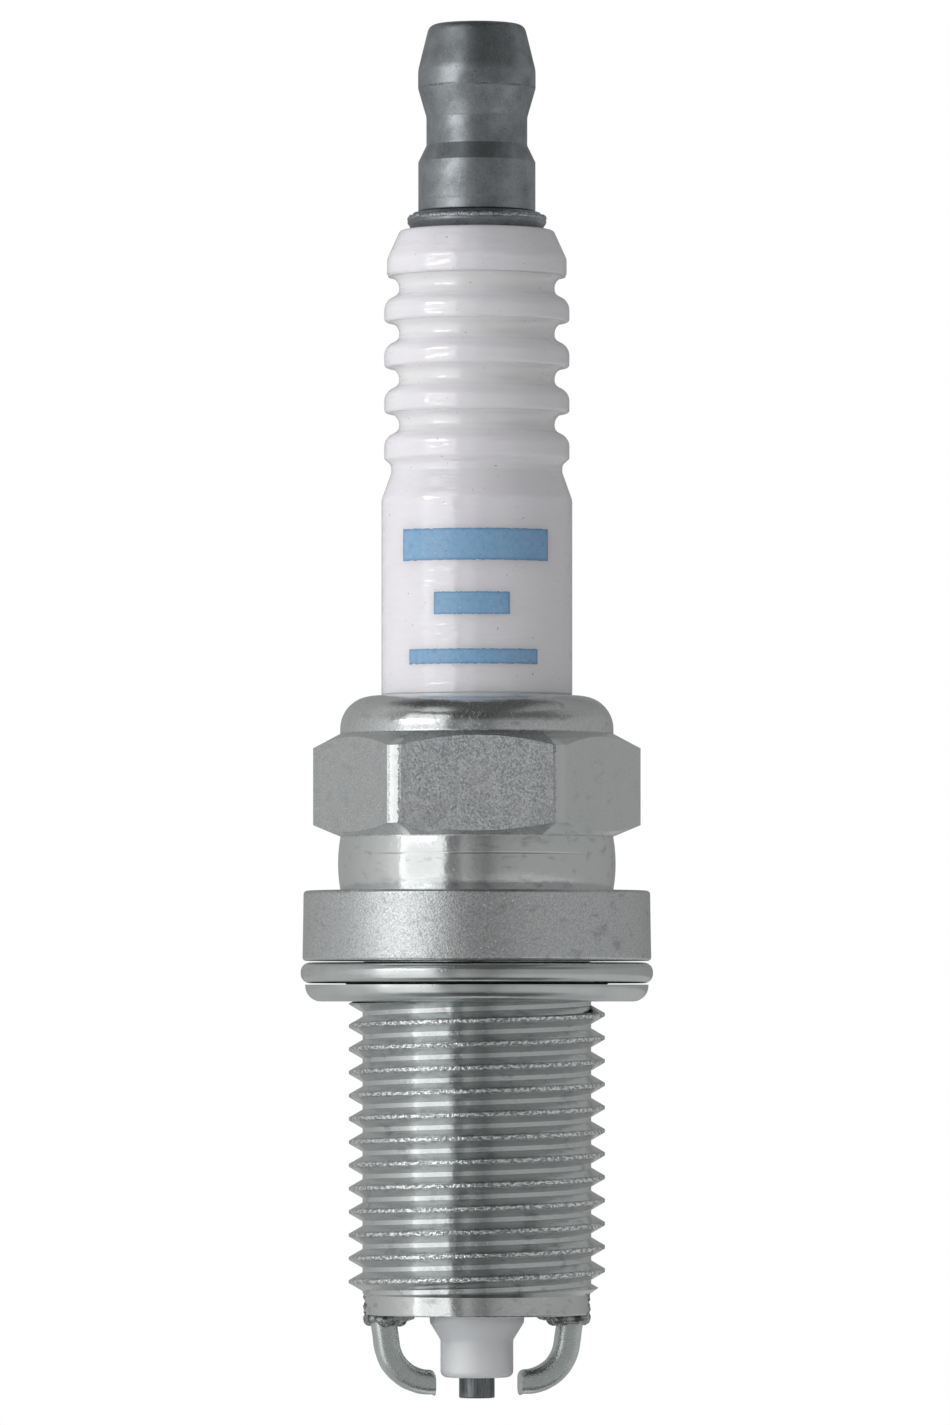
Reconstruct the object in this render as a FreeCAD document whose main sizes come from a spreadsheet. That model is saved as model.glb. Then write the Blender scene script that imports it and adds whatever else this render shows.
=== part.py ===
import FreeCAD, Part
import math
import os

import Sketcher
from FreeCAD import Vector

# A 14 mm spark plug with a 19 mm reach, a hexagon for a 16 mm socket and two side ground electrodes.
# Millimetres. +Z runs up the plug's axis from the electrodes to the terminal, and the origin is
# on the axis, in the flat underside of the gasket: the face that rests on the cylinder head.
# The hexagon has a flat towards -Y.

os.makedirs("parts", exist_ok=True)
doc = FreeCAD.newDocument("spark_plug")


# ---------------------------------------------------------------------------------------------
# Driving dimensions, kept in a spreadsheet
# ---------------------------------------------------------------------------------------------

class Length:
    """A length known both as a number and as the spreadsheet expression that it comes from."""

    def __init__(self, number, text):
        self.number = number
        self.text = text

    def __add__(self, other):
        other = as_length(other)
        return Length(self.number + other.number, f"({self.text} + {other.text})")

    def __sub__(self, other):
        other = as_length(other)
        return Length(self.number - other.number, f"({self.text} - {other.text})")

    def __mul__(self, other):
        other = as_length(other)
        return Length(self.number * other.number, f"({self.text} * {other.text})")

    def __truediv__(self, other):
        other = as_length(other)
        return Length(self.number / other.number, f"({self.text} / {other.text})")

    def __neg__(self):
        return Length(-self.number, f"(0 - {self.text})")


def as_length(value):
    """Lets a plain number stand where a Length is wanted."""
    return value if isinstance(value, Length) else Length(float(value), f"({float(value):.12g})")


sheet = doc.addObject("Spreadsheet::Sheet", "sizes")
sheet.set("A1", "size")
sheet.set("B1", "mm")
sheet.set("C1", "what it is")
rows_used = 1


def size(name, number, meaning):
    """Writes one driving dimension into the sheet and returns it as a Length."""
    global rows_used
    rows_used += 1
    sheet.set(f"A{rows_used}", name)
    sheet.set(f"B{rows_used}", str(number))
    sheet.set(f"C{rows_used}", meaning)
    sheet.setAlias(f"B{rows_used}", name)
    return Length(float(number), f"sizes.{name}")


# Shell: thread, seat, flange, groove, hexagon and crimped lip
reach = size("reach", 19.0, "seat face to the end of the shell")
thread_diameter = size("thread_diameter", 13.8, "M14 thread over its crests")
thread_depth = size("thread_depth", 0.74, "crest to root of the M14 thread")
thread_pitch = size("thread_pitch", 1.25, "pitch of the M14 thread")
crest_width = size("crest_width", 0.16, "flat on the crest of the M14 thread")
thread_phase = size("thread_phase", 0.075, "level of a thread groove's middle at +X, below the origin")
thread_top_drop = size("thread_top_drop", 0.1, "origin down to the first full crest")
neck_relief = size("neck_relief", 0.05, "plain neck below the thread's root, on the radius")
pilot_length = size("pilot_length", 1.05, "plain end of the shell below the thread")
pilot_relief = size("pilot_relief", 0.12, "plain end below the thread's root, on the radius")
lead_length = size("lead_length", 0.62, "length of the thread's lead chamfer")
flange_diameter = size("flange_diameter", 18.8, "seat flange")
flange_draft = size("flange_draft", 0.06, "flange's top edge inside its bottom edge, on the radius")
flange_height = size("flange_height", 3.79, "seat face to the flange's top")
flange_round = size("flange_round", 0.2, "rounding of the flange's edges")
groove_height = size("groove_height", 2.91, "buckled groove between flange and hexagon")
groove_inset = size("groove_inset", 0.495, "buckled groove's ends inside the flats")
groove_bulge = size("groove_bulge", 0.13, "outward bulge of the buckled groove, on the radius")
hex_across_flats = size("hex_across_flats", 15.7, "made size of a 16 mm hexagon")
hex_corner_cut = size("hex_corner_cut", 0.235, "blank inside the sharp corners, on the radius")
hex_height = size("hex_height", 5.54, "hexagon with both chamfers")
hex_top_chamfer = size("hex_top_chamfer", 0.78, "height of the hexagon's top chamfer")
hex_bottom_chamfer = size("hex_bottom_chamfer", 0.62, "height of the hexagon's bottom chamfer")
lip_inset = size("lip_inset", 0.48, "crimped lip's outside inside the flats")
lip_height = size("lip_height", 2.03, "hexagon's top to the lip's top")
lip_round = size("lip_round", 1.75, "outer bend of the crimped lip")
lip_thickness = size("lip_thickness", 1.1, "sheet of the crimped lip")
lip_edge_round = size("lip_edge_round", 0.12, "rounding of the lip's inner edge")
packing_space = size("packing_space", 1.15, "cavity outside the insulator's post, on the radius")
cavity_floor = size("cavity_floor", 0.9, "seat face up to the bottom of the cavity's cone")
stem_gap = size("stem_gap", 0.1, "bore inside the thread outside the stem, on the radius")
ledge_drop = size("ledge_drop", 6.15, "seat face down to the top of the ledge")
ledge_slope = size("ledge_slope", 1.06, "fall of the ledge's cone for each mm inwards")
seat_width = size("seat_width", 0.75, "ledge's bore inside the insulator's stem, on the radius")
ledge_land = size("ledge_land", 1.0, "straight part of the ledge's bore")
ledge_relief = size("ledge_relief", 0.25, "nose cavity outside the ledge's bore, on the radius")
end_round = size("end_round", 0.08, "rounding of the shell's end edges")

# Gasket: one strip of sheet steel, folded twice and rolled at its rim
gasket_overhang = size("gasket_overhang", 0.095, "upper roll outside the flange, on the radius")
gasket_foot_inset = size("gasket_foot_inset", 0.245, "lower curl inside the roll, on the radius")
gasket_catch = size("gasket_catch", 0.4, "hole's edge inside the thread's crests, on the radius")
gasket_fold_inset = size("gasket_fold_inset", 0.14, "inner fold outside the hole, on the radius")
gasket_sheet = size("gasket_sheet", 0.36, "thickness of the gasket's sheet")
gasket_layer_gap = size("gasket_layer_gap", 0.4, "space inside the upper roll")
gasket_bend = size("gasket_bend", 0.144, "inside of the strip's tight bends")
gasket_curl_height = size("gasket_curl_height", 0.91, "height of the lower curl")
gasket_curl_gap = size("gasket_curl_gap", 0.07, "lower curl's edge up to the roll")
gasket_foot_round = size("gasket_foot_round", 0.85, "outer bend of the lower curl")
seat_gap = size("seat_gap", 0.08, "loose gasket below the seat face")

# Insulator outside
insulator_exposed = size("insulator_exposed", 25.17, "lip's top to the insulator's top")
body_diameter = size("body_diameter", 10.3, "smooth part of the insulator")
body_top_drop = size("body_top_drop", 14.58, "insulator's top down to the smooth part")
head_diameter = size("head_diameter", 8.3, "insulator's top face over its edge rounding")
head_round = size("head_round", 0.28, "rounding of the insulator's top edge")
head_taper = size("head_taper", 1.55, "height of the taper below the top")
first_rib_diameter = size("first_rib_diameter", 9.7, "top rib")
first_rib_drop = size("first_rib_drop", 2.51, "insulator's top to the first rib's underside")
rib_diameter = size("rib_diameter", 10.0, "the other ribs")
rib_pitch = size("rib_pitch", 2.46, "distance from rib to rib")
rib_edge_round = size("rib_edge_round", 0.18, "lower edge of a rib")
rib_shoulder_round = size("rib_shoulder_round", 0.72, "upper edge of a rib")
rib_shoulder_drop = size("rib_shoulder_drop", 1.36, "rib's underside to the next rib's shoulder")
groove_floor = size("groove_floor", 0.93, "rib's underside to the end of the groove's floor")
rib_groove_diameter = size("rib_groove_diameter", 8.4, "bottom of the grooves between the ribs")
rib_groove_round = size("rib_groove_round", 0.6, "upper corner of a groove")
rib_floor_round = size("rib_floor_round", 0.45, "lower corner of a groove")
last_groove_diameter = size("last_groove_diameter", 9.24, "shallow groove under the last rib")
taper_round = size("taper_round", 0.5, "taper's corner with the first rib")
flare_round = size("flare_round", 0.7, "top corner of the smooth part")
last_groove_round = size("last_groove_round", 0.3, "upper corner of the shallow groove")
last_groove_fall = size("last_groove_fall", 0.34, "slope under the last rib, along the axis")
last_groove_width = size("last_groove_width", 0.4, "floor of the shallow groove")

# Insulator inside the shell, its nose and its bore
shoulder_gap = size("shoulder_gap", 0.1, "insulator's shoulder inside the cavity, on the radius")
shoulder_height = size("shoulder_height", 5.55, "straight side of the shoulder")
cavity_cone_gap = size("cavity_cone_gap", 0.25, "between the two cones under the shoulder")
stem_diameter = size("stem_diameter", 9.2, "insulator inside the thread")
leg_gap = size("leg_gap", 0.2, "top of the tapered leg inside the ledge's bore, on the radius")
nose_diameter = size("nose_diameter", 5.06, "leg at its lower end")
nose_cone_drop = size("nose_cone_drop", 0.46, "shell's end to the start of the nose's cone")
nose_cone_height = size("nose_cone_height", 0.92, "height of the nose's cone")
nose_tip_diameter = size("nose_tip_diameter", 3.92, "straight tip of the nose")
nose_projection = size("nose_projection", 3.39, "nose beyond the shell's end")
nose_round = size("nose_round", 0.35, "rounding of the nose's edge")
insulator_bore = size("insulator_bore", 3.9, "main bore of the insulator")
bore_seat_drop = size("bore_seat_drop", 4.4, "seat face down to the main bore's end")
bore_seat_height = size("bore_seat_height", 0.7, "cone between the two bores")
fit_gap = size("fit_gap", 0.02, "gap between two pieces fixed together")
lip_gap = size("lip_gap", 0.05, "between the lip's inner edge and the insulator's post")
post_relief = size("post_relief", 0.05, "unglazed post below the smooth part, on the radius")
glaze_end = size("glaze_end", 0.1, "lip's top up to the end of the glaze")

# Packings
ring_gap = size("ring_gap", 0.075, "packing ring's wire off the walls on its two sides")
packing_thickness = size("packing_thickness", 0.5, "height of the seat packing")

# Centre electrode
electrode_diameter = size("electrode_diameter", 1.92, "centre electrode")
electrode_projection = size("electrode_projection", 1.11, "electrode beyond the nose")
electrode_gap = size("electrode_gap", 0.04, "electrode inside its bore, on the radius")
head_gap = size("head_gap", 0.4, "head of the electrode inside the bore, on the radius")
electrode_head_height = size("electrode_head_height", 1.9, "head above the bore's cone")
electrode_edge_round = size("electrode_edge_round", 0.08, "rounding of the electrode's tip")
head_edge_round = size("head_edge_round", 0.16, "rounding of the electrode's head")
core_round = size("core_round", 0.25, "rounding of the core's lower end")
core_diameter = size("core_diameter", 1.0, "copper core")
core_end_cover = size("core_end_cover", 2.4, "solid nickel below the core")

# Seals and resistor in the bore
seal_skirt = size("seal_skirt", 1.0, "lower seal's skirt down the electrode head")
lower_seal_height = size("lower_seal_height", 2.6, "lower seal above the electrode head")
resistor_length = size("resistor_length", 7.5, "resistor")
upper_seal_height = size("upper_seal_height", 1.2, "upper seal below the stud")
upper_seal_skirt = size("upper_seal_skirt", 2.6, "upper seal's skirt up the stud's foot")

# Terminal stud and nut
stud_gap = size("stud_gap", 0.08, "stud's shank inside the bore, on the radius")
foot_gap = size("foot_gap", 0.45, "grooved foot of the stud inside the bore, on the radius")
foot_length = size("foot_length", 3.3, "grooved foot of the stud")
foot_groove_depth = size("foot_groove_depth", 0.15, "ring grooves of the foot")
foot_groove_pitch = size("foot_groove_pitch", 0.7, "ring grooves of the foot")
collar_diameter = size("collar_diameter", 7.5, "collar under the nut")
collar_top_diameter = size("collar_top_diameter", 6.84, "collar's top face")
collar_foot_diameter = size("collar_foot_diameter", 7.0, "collar's bottom face")
collar_height = size("collar_height", 0.94, "collar")
collar_rim_level = size("collar_rim_level", 0.46, "collar's bottom to the middle of its rim")
collar_rim_width = size("collar_rim_width", 0.14, "straight rim of the collar")
stud_thread_diameter = size("stud_thread_diameter", 3.96, "M4 thread over its crests")
stud_thread_depth = size("stud_thread_depth", 0.4, "crest to root of the M4 thread")
stud_thread_pitch = size("stud_thread_pitch", 0.7, "pitch of the M4 thread")
stud_crest_width = size("stud_crest_width", 0.09, "flat on the crest of the M4 thread")
stud_thread_length = size("stud_thread_length", 8.0, "collar's top to the stud's top")
stud_undercut = size("stud_undercut", 0.75, "plain neck above the collar")
stud_undercut_relief = size("stud_undercut_relief", 0.05, "neck below the root, on the radius")
stud_chamfer = size("stud_chamfer", 0.45, "chamfer of the stud's top")
nut_height = size("nut_height", 10.17, "terminal nut")
nut_seat_gap = size("nut_seat_gap", 0.04, "nut's bottom above the collar")
nut_diameter = size("nut_diameter", 6.35, "head of the nut")
nut_top_diameter = size("nut_top_diameter", 5.14, "top face over its rounding")
nut_top_round = size("nut_top_round", 0.5, "rounding of the nut's top edge")
nut_head_taper = size("nut_head_taper", 2.47, "height of the taper below the top")
nut_head_land = size("nut_head_land", 1.0, "straight part of the head")
nut_crown_round = size("nut_crown_round", 1.6, "head's edge with its taper")
nut_head_round = size("nut_head_round", 0.4, "head's edge with the cone below")
nut_waist_diameter = size("nut_waist_diameter", 5.45, "waist that the cap's clip snaps into")
nut_waist_cone = size("nut_waist_cone", 1.56, "height of the cone down to the waist")
nut_waist_land = size("nut_waist_land", 1.52, "straight part of the waist")
nut_waist_round = size("nut_waist_round", 0.8, "rounding of the waist")
nut_skirt_diameter = size("nut_skirt_diameter", 6.33, "lower part of the nut")
nut_skirt_chamfer = size("nut_skirt_chamfer", 0.91, "height of the cone below the waist")
nut_edge_round = size("nut_edge_round", 0.1, "rounding of the nut's bottom edge")
nut_bore_gap = size("nut_bore_gap", 0.04, "nut's bore outside the stud, on the radius")
nut_bore_depth = size("nut_bore_depth", 8.35, "straight part of the nut's bore")
nut_bore_point = size("nut_bore_point", 0.5, "cone at the end of the nut's bore")
nut_bore_chamfer = size("nut_bore_chamfer", 0.25, "chamfer at the mouth of the nut's bore")

# Ground electrodes and their welds
wire_thickness = size("wire_thickness", 1.33, "ground electrode, along the radius")
wire_width = size("wire_width", 2.2, "ground electrode, across")
wire_edge_round = size("wire_edge_round", 0.22, "rounding of the wire's edges")
wire_inset = size("wire_inset", 0.258, "wire's root inside the shell's side, on the radius")
wire_run = size("wire_run", 0.27, "straight end of the ground electrode")
wire_lean = size("wire_lean", 8.0, "lean of the leg, in degrees, outwards to its root")
spark_gap = size("spark_gap", 1.37, "centre electrode's side to the ground electrode's end")
tip_drop = size("tip_drop", 0.2, "wire's underside above the centre electrode's end")
wire_turn = size("wire_turn", 7.0, "turn of the electrodes about the axis, in degrees from X")
bead_radius = size("bead_radius", 0.38, "lumps of the upset weld bead")
bead_spread = size("bead_spread", 0.12, "middle of the lumps outside the wire")
bead_count = size("bead_count", 16, "lumps of one weld bead")

doc.recompute()


# ---------------------------------------------------------------------------------------------
# Levels along the axis and radii, worked out from the driving dimensions
# ---------------------------------------------------------------------------------------------

def half(length):
    return length / 2


FULL_ROUND = 0.95  # the share of a wall that a rounding may take


def at_most(length, limit):
    """A rounding or relief, kept within the wall that it is cut in."""
    return Length(min(length.number, limit.number), f"min({length.text}; {limit.text})")


gasket_roll_height = gasket_sheet * 2 + gasket_layer_gap
gasket_roll_bottom = gasket_curl_height + gasket_curl_gap
gasket_height = gasket_roll_bottom + gasket_roll_height
seat_level = gasket_height + seat_gap
shell_end = seat_level - reach
flange_top = seat_level + flange_height
hex_bottom = flange_top + groove_height
hex_top = hex_bottom + hex_height
lip_top = hex_top + lip_height
lip_underside = lip_top - lip_thickness
insulator_top = lip_top + insulator_exposed
nose_end = shell_end - nose_projection
electrode_end = nose_end - electrode_projection
collar_top = insulator_top + collar_height
stud_top = collar_top + stud_thread_length
nut_bottom = collar_top + nut_seat_gap
nut_top = nut_bottom + nut_height

thread_radius = half(thread_diameter)
root_radius = thread_radius - thread_depth
neck_radius = root_radius - neck_relief
pilot_radius = root_radius - pilot_relief
flange_radius = half(flange_diameter)
body_radius = half(body_diameter)
post_radius = body_radius - post_relief
cavity_radius = post_radius + packing_space
cavity_floor_level = seat_level + cavity_floor
stem_radius = half(stem_diameter)
stem_bore_radius = stem_radius + stem_gap
ledge_top = seat_level - ledge_drop
ledge_radius = stem_radius - seat_width
nose_cavity_radius = ledge_radius + ledge_relief
bore_radius = half(insulator_bore)
electrode_radius = half(electrode_diameter)
nose_bore_radius = electrode_radius + electrode_gap
bore_seat_top = seat_level - bore_seat_drop
bore_seat_bottom = bore_seat_top - bore_seat_height


def trigonometry(function, angle):
    """The sine, cosine or tangent of an angle in degrees."""
    number = getattr(math, function)(math.radians(angle.number))
    return Length(number, f"{function}({angle.text} * 1 deg)")


def ledge_level(radius, lift):
    """Level of the ledge's cone at a radius, lifted straight up by a distance."""
    return ledge_top - (stem_bore_radius - radius) * ledge_slope + lift


# ---------------------------------------------------------------------------------------------
# Sketches and features
# ---------------------------------------------------------------------------------------------

class Corner:
    """One corner of an outline: its place, and how it is rounded or how its next side bows."""

    def __init__(self, across, up, rounding=None, bow=None):
        self.across = as_length(across)
        self.up = as_length(up)
        self.rounding = rounding
        self.bow = bow

    @property
    def point(self):
        return Vector(self.across.number, self.up.number, 0)


class Outline:
    """Draws closed outlines in one sketch, with every corner pinned to the spreadsheet."""

    def __init__(self, sketch):
        self.sketch = sketch
        self.constraints = []
        self.bindings = []

    def end_at(self, curve, point):
        """Which end of a curve lies at a point: 1 is its start and 2 is its end."""
        start = self.sketch.getPoint(curve, 1)
        end = self.sketch.getPoint(curve, 2)
        return 1 if start.distanceToPoint(point) < end.distanceToPoint(point) else 2

    def bind(self, constraint, length):
        self.bindings.append((len(self.constraints), length.text))
        self.constraints.append(constraint)

    def pin(self, curve, end, corner):
        """Ties one point to its two coordinates, measured from the sketch's origin."""
        across = Sketcher.Constraint("DistanceX", -1, 1, curve, end, corner.across.number)
        up = Sketcher.Constraint("DistanceY", -1, 1, curve, end, corner.up.number)
        self.bind(across, corner.across)
        self.bind(up, corner.up)

    def marker(self, corner):
        """Adds a construction point that holds a corner's place and returns its number."""
        point = self.sketch.addGeometry(Part.Point(corner.point), True)
        self.pin(point, 1, corner)
        return point

    def closed(self, corners):
        """Draws one closed outline through the corners."""
        count = len(corners)
        entry, exit_ = [], []
        bends = []
        for number, corner in enumerate(corners):
            here = corner.point
            if corner.rounding is None:
                entry.append(here)
                exit_.append(here)
                bends.append(None)
                continue
            inward = (here - corners[number - 1].point).normalize()
            onward = (corners[(number + 1) % count].point - here).normalize()
            turn = inward.getAngle(onward)
            radius = corner.rounding.number
            setback = radius * math.tan(turn / 2)
            start = here - inward * setback
            end = here + onward * setback
            bisector = (onward - inward).normalize()
            middle = here + bisector * (radius / math.cos(turn / 2) - radius)
            entry.append(start)
            exit_.append(end)
            bends.append(self.sketch.addGeometry(Part.Arc(start, middle, end)))
        sides = []
        for number, corner in enumerate(corners):
            start = exit_[number]
            end = entry[(number + 1) % count]
            if corner.bow is None:
                sides.append(self.sketch.addGeometry(Part.LineSegment(start, end)))
            else:
                bow = Corner(*corner.bow)
                sides.append(self.sketch.addGeometry(Part.Arc(start, bow.point, end)))
                touch = self.marker(bow)
                self.constraints.append(
                    Sketcher.Constraint("PointOnObject", touch, 1, sides[-1]))
        for number, corner in enumerate(corners):
            before, after = sides[number - 1], sides[number]
            before_end = self.end_at(before, entry[number])
            after_end = self.end_at(after, exit_[number])
            bend = bends[number]
            if bend is None:
                self.constraints.append(
                    Sketcher.Constraint("Coincident", before, before_end, after, after_end))
                self.pin(after, after_end, corner)
                continue
            place = self.marker(corner)
            bend_start = self.end_at(bend, entry[number])
            self.constraints += [
                Sketcher.Constraint("PointOnObject", place, 1, before),
                Sketcher.Constraint("PointOnObject", place, 1, after),
                Sketcher.Constraint("Tangent", before, before_end, bend, bend_start),
                Sketcher.Constraint("Tangent", after, after_end, bend, 3 - bend_start)]
            self.bind(Sketcher.Constraint("Radius", bend, corner.rounding.number), corner.rounding)

    def circle(self, across, up, radius):
        """Draws one circle."""
        centre = Corner(across, up)
        ring = self.sketch.addGeometry(
            Part.Circle(centre.point, Vector(0, 0, 1), radius.number))
        self.pin(ring, 3, centre)
        self.bind(Sketcher.Constraint("Radius", ring, radius.number), radius)

    def finish(self):
        """Adds the constraints and ties them to the spreadsheet."""
        first = self.sketch.ConstraintCount
        self.sketch.addConstraint(self.constraints)
        for number, text in self.bindings:
            self.sketch.setExpression(f"Constraints[{first + number}]", text)


def new_body(name):
    """Starts one piece of the plug; its label names its file."""
    body = doc.addObject("PartDesign::Body", name)
    body.Label = name
    return body


def new_sketch(body, name, role, level=None):
    """A sketch on one of the body's own origin planes, lifted off it by a level if given."""
    sketch = body.newObject("Sketcher::SketchObject", name)
    plane = next(item for item in body.Origin.OriginFeatures if item.Role == role)
    sketch.AttachmentSupport = [(plane, "")]
    sketch.MapMode = "FlatFace"
    if level is not None:
        sketch.AttachmentOffset = FreeCAD.Placement(
            Vector(0, 0, level.number), FreeCAD.Rotation())
        sketch.setExpression("AttachmentOffset.Base.z", level.text)
    return sketch


def turn_outline(body, name, corners):
    """Revolves a closed outline of radii and levels about the plug's axis."""
    sketch = new_sketch(body, name + "_outline", "XZ_Plane")
    outline = Outline(sketch)
    outline.closed(corners)
    outline.finish()
    return turn_sketch(body, name, sketch)


def turn_sketch(body, name, sketch):
    turned = body.newObject("PartDesign::Revolution", name)
    turned.Profile = sketch
    turned.ReferenceAxis = (sketch, ["V_Axis"])
    turned.Angle = 360
    return turned


THREAD_OVERCUT = 0.4  # how far a thread's cutter stands out of the crest, as a share of the depth
PAST_THE_PIECE = 1.5  # how far a cutter reaches past what it cuts, as a share of its size


def cut_thread(body, name, crest, depth, pitch, crest_flat, bottom, turns):
    """Cuts a right-hand 60 degree thread, turning upwards from a groove's middle at +X."""
    flank = math.tan(math.radians(30))
    root_flat = pitch - crest_flat - depth * (2 * flank)
    overcut = depth * THREAD_OVERCUT
    root_half = half(root_flat)
    mouth_half = root_half + (depth + overcut) * flank
    sketch = new_sketch(body, name + "_groove", "XZ_Plane")
    outline = Outline(sketch)
    outline.closed([
        Corner(crest - depth, bottom - root_half),
        Corner(crest + overcut, bottom - mouth_half),
        Corner(crest + overcut, bottom + mouth_half),
        Corner(crest - depth, bottom + root_half)])
    outline.finish()
    thread = body.newObject("PartDesign::SubtractiveHelix", name)
    thread.Profile = sketch
    thread.ReferenceAxis = (sketch, ["V_Axis"])
    thread.Mode = "pitch-turns-angle"
    thread.setExpression("Pitch", pitch.text)
    thread.Turns = turns
    thread.Angle = 0
    thread.LeftHanded = False
    return thread


def turns_between(bottom, top, pitch):
    """Whole turns that a thread needs to get from one level past another."""
    return math.ceil((top.number - bottom.number) / pitch.number)


# ---------------------------------------------------------------------------------------------
# Shell: one turned and rolled steel body
# ---------------------------------------------------------------------------------------------

def make_shell():
    body = new_body("shell")
    corner_reach = hex_across_flats / math.sqrt(3)
    corner_radius = corner_reach - hex_corner_cut
    lip_radius = half(hex_across_flats) - lip_inset
    groove_radius = half(hex_across_flats) - groove_inset
    lip_bore = post_radius + lip_gap
    pilot_top = shell_end + pilot_length
    ledge_bottom = ledge_level(ledge_radius, -ledge_land)
    turn_outline(body, "shell_turned", [
        Corner(lip_bore, lip_top, lip_edge_round),
        Corner(lip_radius, lip_top, lip_round),
        Corner(lip_radius, hex_top),
        Corner(corner_radius, hex_top - hex_top_chamfer),
        Corner(corner_radius, hex_bottom + hex_bottom_chamfer),
        Corner(groove_radius, hex_bottom,
               bow=(groove_radius + groove_bulge, half(hex_bottom + flange_top))),
        Corner(groove_radius, flange_top),
        Corner(flange_radius - flange_draft, flange_top, flange_round),
        Corner(flange_radius, seat_level, flange_round),
        Corner(neck_radius, seat_level),
        Corner(neck_radius, half(thread_radius - neck_radius) - thread_top_drop),
        Corner(thread_radius, -thread_top_drop),
        Corner(thread_radius, pilot_top + lead_length),
        Corner(pilot_radius, pilot_top),
        Corner(pilot_radius, shell_end, end_round),
        Corner(nose_cavity_radius, shell_end, end_round),
        Corner(nose_cavity_radius, ledge_bottom - ledge_relief),
        Corner(ledge_radius, ledge_bottom),
        Corner(ledge_radius, ledge_level(ledge_radius, 0)),
        Corner(stem_bore_radius, ledge_top),
        Corner(stem_bore_radius, cavity_floor_level),
        Corner(cavity_radius, cavity_floor_level + cavity_radius - stem_bore_radius),
        Corner(cavity_radius, lip_underside, lip_round - lip_thickness),
        Corner(lip_bore, lip_underside)])

    flats = new_sketch(body, "shell_hexagon", "XY_Plane", hex_top)
    outline = Outline(flats)
    outline.closed([
        Corner(corner_reach * math.cos(math.radians(60 * number)),
               corner_reach * math.sin(math.radians(60 * number)))
        for number in range(6)])
    outline.circle(0, 0, corner_reach * PAST_THE_PIECE)
    outline.finish()
    pocket = body.newObject("PartDesign::Pocket", "shell_flats")
    pocket.Profile = flats
    pocket.setExpression("Length", hex_height.text)

    bottom = -thread_phase - thread_pitch * turns_between(shell_end + pilot_length,
                                                          as_length(0), thread_pitch)
    turns = turns_between(bottom, half(seat_level), thread_pitch)
    cut_thread(body, "shell_thread", thread_radius, thread_depth, thread_pitch, crest_width,
               bottom, turns)
    return body


# ---------------------------------------------------------------------------------------------
# Gasket: a steel strip folded inwards under itself and curled at its rim, loose on the neck
# ---------------------------------------------------------------------------------------------

def make_gasket():
    body = new_body("gasket")
    roll = flange_radius + gasket_overhang
    foot = roll - gasket_foot_inset
    hole = thread_radius - gasket_catch
    fold = hole + gasket_fold_inset
    inner = at_most(gasket_bend, half(gasket_layer_gap) * FULL_ROUND)
    outer = inner + gasket_sheet
    foot_bend = at_most(gasket_foot_round, gasket_curl_height * FULL_ROUND)
    middle_top = gasket_roll_bottom + gasket_sheet
    turn_outline(body, "gasket_strip", [
        Corner(hole, gasket_height),
        Corner(roll, gasket_height, outer),
        Corner(roll, gasket_roll_bottom, outer),
        Corner(fold + gasket_sheet, gasket_roll_bottom, inner),
        Corner(fold + gasket_sheet, gasket_sheet, inner),
        Corner(foot - gasket_sheet, gasket_sheet, foot_bend - gasket_sheet),
        Corner(foot - gasket_sheet, gasket_curl_height),
        Corner(foot, gasket_curl_height),
        Corner(foot, 0, foot_bend),
        Corner(fold, 0, outer),
        Corner(fold, middle_top, outer),
        Corner(roll - gasket_sheet, middle_top, inner),
        Corner(roll - gasket_sheet, gasket_height - gasket_sheet, inner),
        Corner(hole, gasket_height - gasket_sheet)])
    return body


# ---------------------------------------------------------------------------------------------
# Insulator: one alumina body with five ribs, a wide shoulder, a tapered leg and a stepped bore
# ---------------------------------------------------------------------------------------------

RIB_COUNT = 5
shoulder_radius = cavity_radius - shoulder_gap
shoulder_bottom = cavity_floor_level + shoulder_radius - stem_bore_radius + cavity_cone_gap
shoulder_top = shoulder_bottom + shoulder_height
shoulder_cone_top = shoulder_top + shoulder_radius - post_radius
packing_lift = packing_thickness + fit_gap * 2


def rib_corners():
    """The ribs and the grooves between them, from the top rib down to the last shallow groove."""
    rib = half(rib_diameter)
    floor = half(rib_groove_diameter)
    corners = [Corner(half(first_rib_diameter), insulator_top - first_rib_drop, rib_edge_round)]
    for number in range(RIB_COUNT - 1):
        underside = insulator_top - first_rib_drop - rib_pitch * number
        corners += [
            Corner(floor, underside, rib_groove_round),
            Corner(floor, underside - groove_floor, rib_floor_round),
            Corner(rib, underside - rib_shoulder_drop, rib_shoulder_round),
            Corner(rib, underside - rib_pitch, rib_edge_round)]
    last_underside = insulator_top - first_rib_drop - rib_pitch * (RIB_COUNT - 1)
    shallow = half(last_groove_diameter)
    shallow_top = last_underside - last_groove_fall
    corners += [
        Corner(shallow, shallow_top, last_groove_round),
        Corner(shallow, shallow_top - last_groove_width, last_groove_round)]
    return corners


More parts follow.
